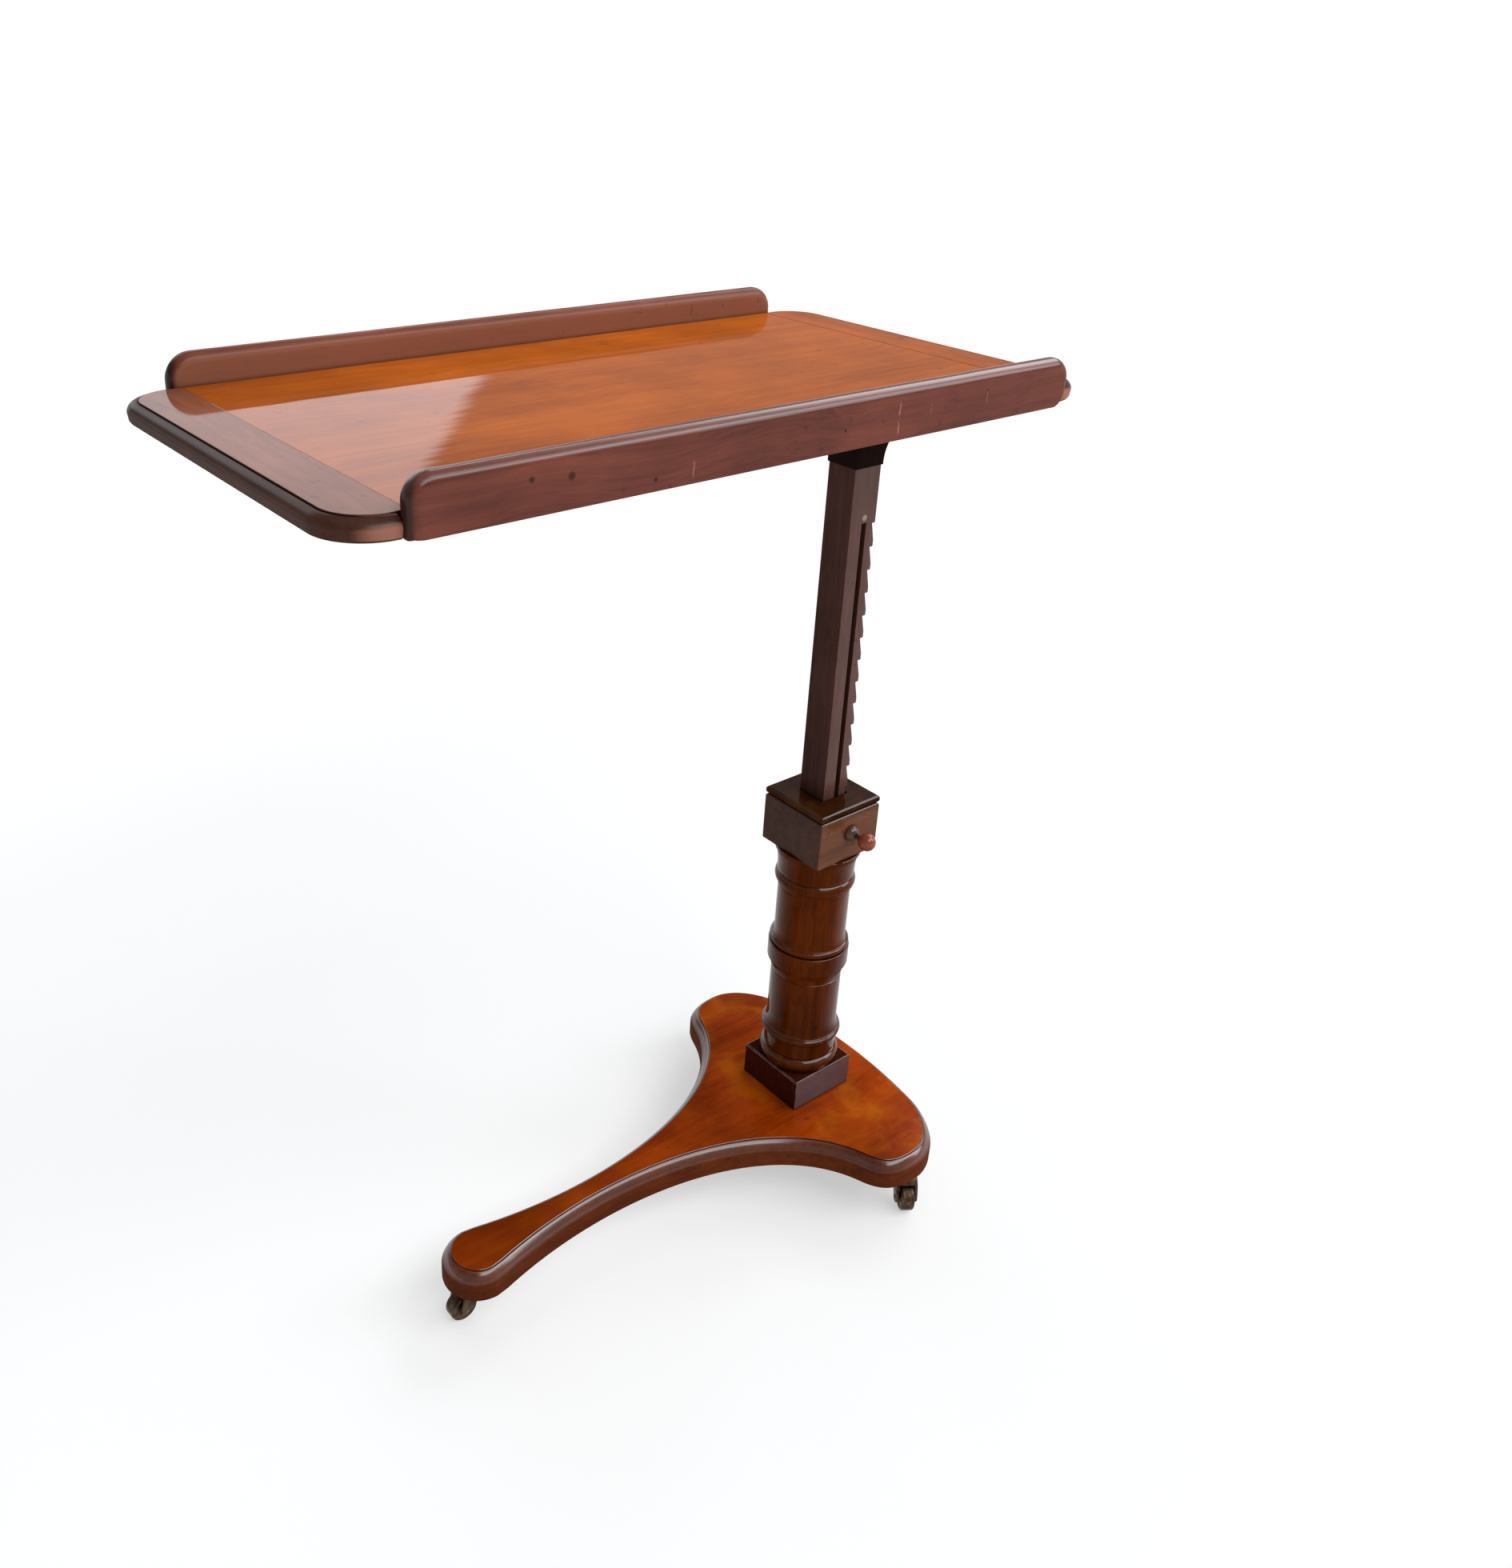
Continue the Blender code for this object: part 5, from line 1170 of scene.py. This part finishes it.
def make_screws():
    """All screws, each slot turned by its own angle."""
    for i in range(1, 5):
        make_screw(f"bearer_screw_{i}", "top", WOOD_SCREW, 0.7 * i)
        make_screw(f"capital_screw_{i}", "top", WOOD_SCREW, 1.1 * i, upside_down=True)
        make_screw(f"base_screw_{i}", "stand", WOOD_SCREW, 0.4 + 0.9 * i)
    for place in CASTORS:
        for i in range(1, 4):
            make_screw(f"{place}_castor_screw_{i}", "stand", CASTOR_SCREW, 1.3 * i)


def dress_solids():
    """Give the solids that stay in view a material with detail."""
    looks = {"dowel": DOWEL_LOOK, "peg": POST_ARRIS}
    for name, solid in frame["nodes"].items():
        if solid.hide_render:
            continue
        look = next((look for word, look in looks.items() if word in name), IRON_LOOK)
        solid.data.materials.clear()
        solid.data.materials.append(look)


# Studio

WHITE = (1.0, 1.0, 1.0, 1.0)
FLOOR_GREY = (0.93, 0.93, 0.93, 1.0)
FLOOR_REACH = 80.0
FLOOR_SHARE = 0.5
LEAN = 0.66
# Windows: bearing, where its left, right, lower and upper edges begin and end, strength, tint
WINDOWS = (
    ("leaning", (-0.1, 0.15), (0.707, 0.723), (0.10, 0.16), (0.50, 0.62), 1.72, (0.84, 0.92, 1.0)),
    ("behind", (0.46, 0.58), (1.65, 1.78), (0.45, 0.49), (0.55, 0.59), 5.5, (0.94, 0.97, 1.0)),
    ("behind", (0.92, 1.00), (1.65, 1.78), (0.55, 0.59), (0.69, 0.75), 5.5, (0.94, 0.97, 1.0)),
    ("front", (-0.50, -0.36), (1.08, 1.24), (0.58, 0.63), (0.88, 0.93), 3.2, (0.98, 0.99, 1.0)),
    ("front", (-0.50, -0.36), (1.08, 1.24), (0.60, 0.64), (0.68, 0.72), 3.0, (1.0, 0.98, 0.96)),
    ("front", (0.70, 0.80), (1.14, 1.26), (0.26, 0.33), (0.62, 0.68), 4.6, (0.90, 0.93, 1.0)),
)


def make_world():
    """A pale horizon and thin haze under a dim dome, with soft windows."""
    world = bpy.data.worlds.new("studio")
    bpy.context.scene.world = world
    g = Graph(world)
    g.tree.nodes.clear()
    toward = g.axes(g.add("ShaderNodeTexCoord").outputs["Generated"])
    height = toward["Z"]
    behind = g.math("ARCTAN2", toward["X"], toward["Y"])
    bearings = {
        "behind": behind,
        "leaning": g.plus(behind, g.times(height, LEAN)),
        "front": g.math("ARCTAN2", toward["X"], g.times(toward["Y"], -1.0)),
    }
    band = g.ramp(height, (0.04, 0.17), 0.9, 0.0)
    haze = g.ramp(height, (0.36, 0.60), 0.2, 0.0)
    crown = g.ramp(height, (0.76, 0.92), 0.14, 0.45)
    sky = g.plus(g.plus(band, haze), crown)
    shader = g.add("ShaderNodeBackground", {"Color": WHITE, "Strength": sky}).outputs[0]
    for name, left, right, low, high, strength, tint in WINDOWS:
        bearing = bearings[name]
        glow = g.times(g.ramp(bearing, left, 0.0, strength), g.ramp(bearing, right, 1.0, 0.0))
        glow = g.times(glow, g.ramp(height, low))
        glow = g.times(glow, g.ramp(height, high, 1.0, 0.0))
        pane = g.add("ShaderNodeBackground", {"Color": opaque(tint), "Strength": glow}).outputs[0]
        shader = g.add("ShaderNodeAddShader", {0: shader, 1: pane}).outputs[0]
    g.add("ShaderNodeOutputWorld", {"Surface": shader})


def make_floor():
    bm = bmesh.new()
    corners = rectangle((-FLOOR_REACH, -FLOOR_REACH), (FLOOR_REACH, FLOOR_REACH), 0.0)
    bm.faces.new([bm.verts.new(corner) for corner in corners])
    floor = object_from(bm, "floor")
    g = Graph(bpy.data.materials.new("floor"))
    g.surface(Base_Color=FLOOR_GREY, Roughness=0.9, Specular_IOR_Level=0.0)
    # Part of the white that is seen comes from the floor itself, so that the shadow stays light
    path = g.add("ShaderNodeLightPath")
    seen = g.math("MAXIMUM", path.outputs["Is Camera Ray"], path.outputs["Is Glossy Ray"])
    seen = g.math("MAXIMUM", seen, path.outputs["Is Transmission Ray"])
    white = g.add("ShaderNodeEmission", {"Color": WHITE, "Strength": 1.0}).outputs[0]
    share = g.times(seen, FLOOR_SHARE)
    blend = g.add("ShaderNodeMixShader", {0: share, 1: g.shader.outputs[0], 2: white}).outputs[0]
    g.put(g.tree.nodes["Material Output"].inputs["Surface"], blend)
    floor.data.materials.append(g.owner)


def make_camera():
    """The camera of the photograph, found by fitting the table's own lines."""
    yaw = math.radians(38.795)
    pitch = math.radians(24.612)
    roll = math.radians(1.972)
    eye = Vector((COLUMN_X - 1.08026, -0.99065, 1.31693))
    focal_pixels = 1791.254
    frame_height = 1960
    offset_pixels = 150
    forward = Vector((math.sin(yaw) * math.cos(pitch), math.cos(yaw) * math.cos(pitch), -math.sin(pitch)))
    side = forward.cross(Vector((0, 0, 1))).normalized()
    up = side.cross(forward)
    right = side * math.cos(roll) + up * math.sin(roll)
    top = up * math.cos(roll) - side * math.sin(roll)
    data = bpy.data.cameras.new("camera")
    data.sensor_width = 36.0
    data.lens = data.sensor_width * focal_pixels / frame_height
    data.shift_x = offset_pixels / frame_height
    data.shift_y = -offset_pixels / frame_height
    data.clip_end = 300.0
    camera = bpy.data.objects.new("camera", data)
    place = Matrix((right, top, -forward)).transposed().to_4x4()
    place.translation = eye
    camera.matrix_world = place
    bpy.context.scene.collection.objects.link(camera)
    bpy.context.scene.camera = camera


make_camera()
make_world()
make_floor()
make_panel()
make_cleat("left_end_cleat", "left_cleat", -1, LEFT_CLEAT_SHADED_LOOK)
make_cleat("right_end_cleat", "right_cleat", 1, RIGHT_CLEAT_LOOK)
make_ledge("front_ledge", -1, LEDGE_END_RADIUS, LEDGE_END_RADIUS, LEDGE_LOOK, FRONT_CHIPS)
make_ledge("back_ledge", 1, LEDGE_FOOT_RADIUS, BACK_LEDGE_END_RADIUS, BACK_LEDGE_LOOK, BACK_CHIPS)
make_bearer()
make_capital()
make_post()
make_collar()
make_collar_cap()
make_column()
make_plinth()
make_base()
make_boss()
make_knob()
for castor in CASTORS:
    make_plate(castor)
    make_fork(castor)
    make_wheel(castor)
make_screws()
dress_solids()
bpy.context.scene.view_settings.view_transform = "Standard"
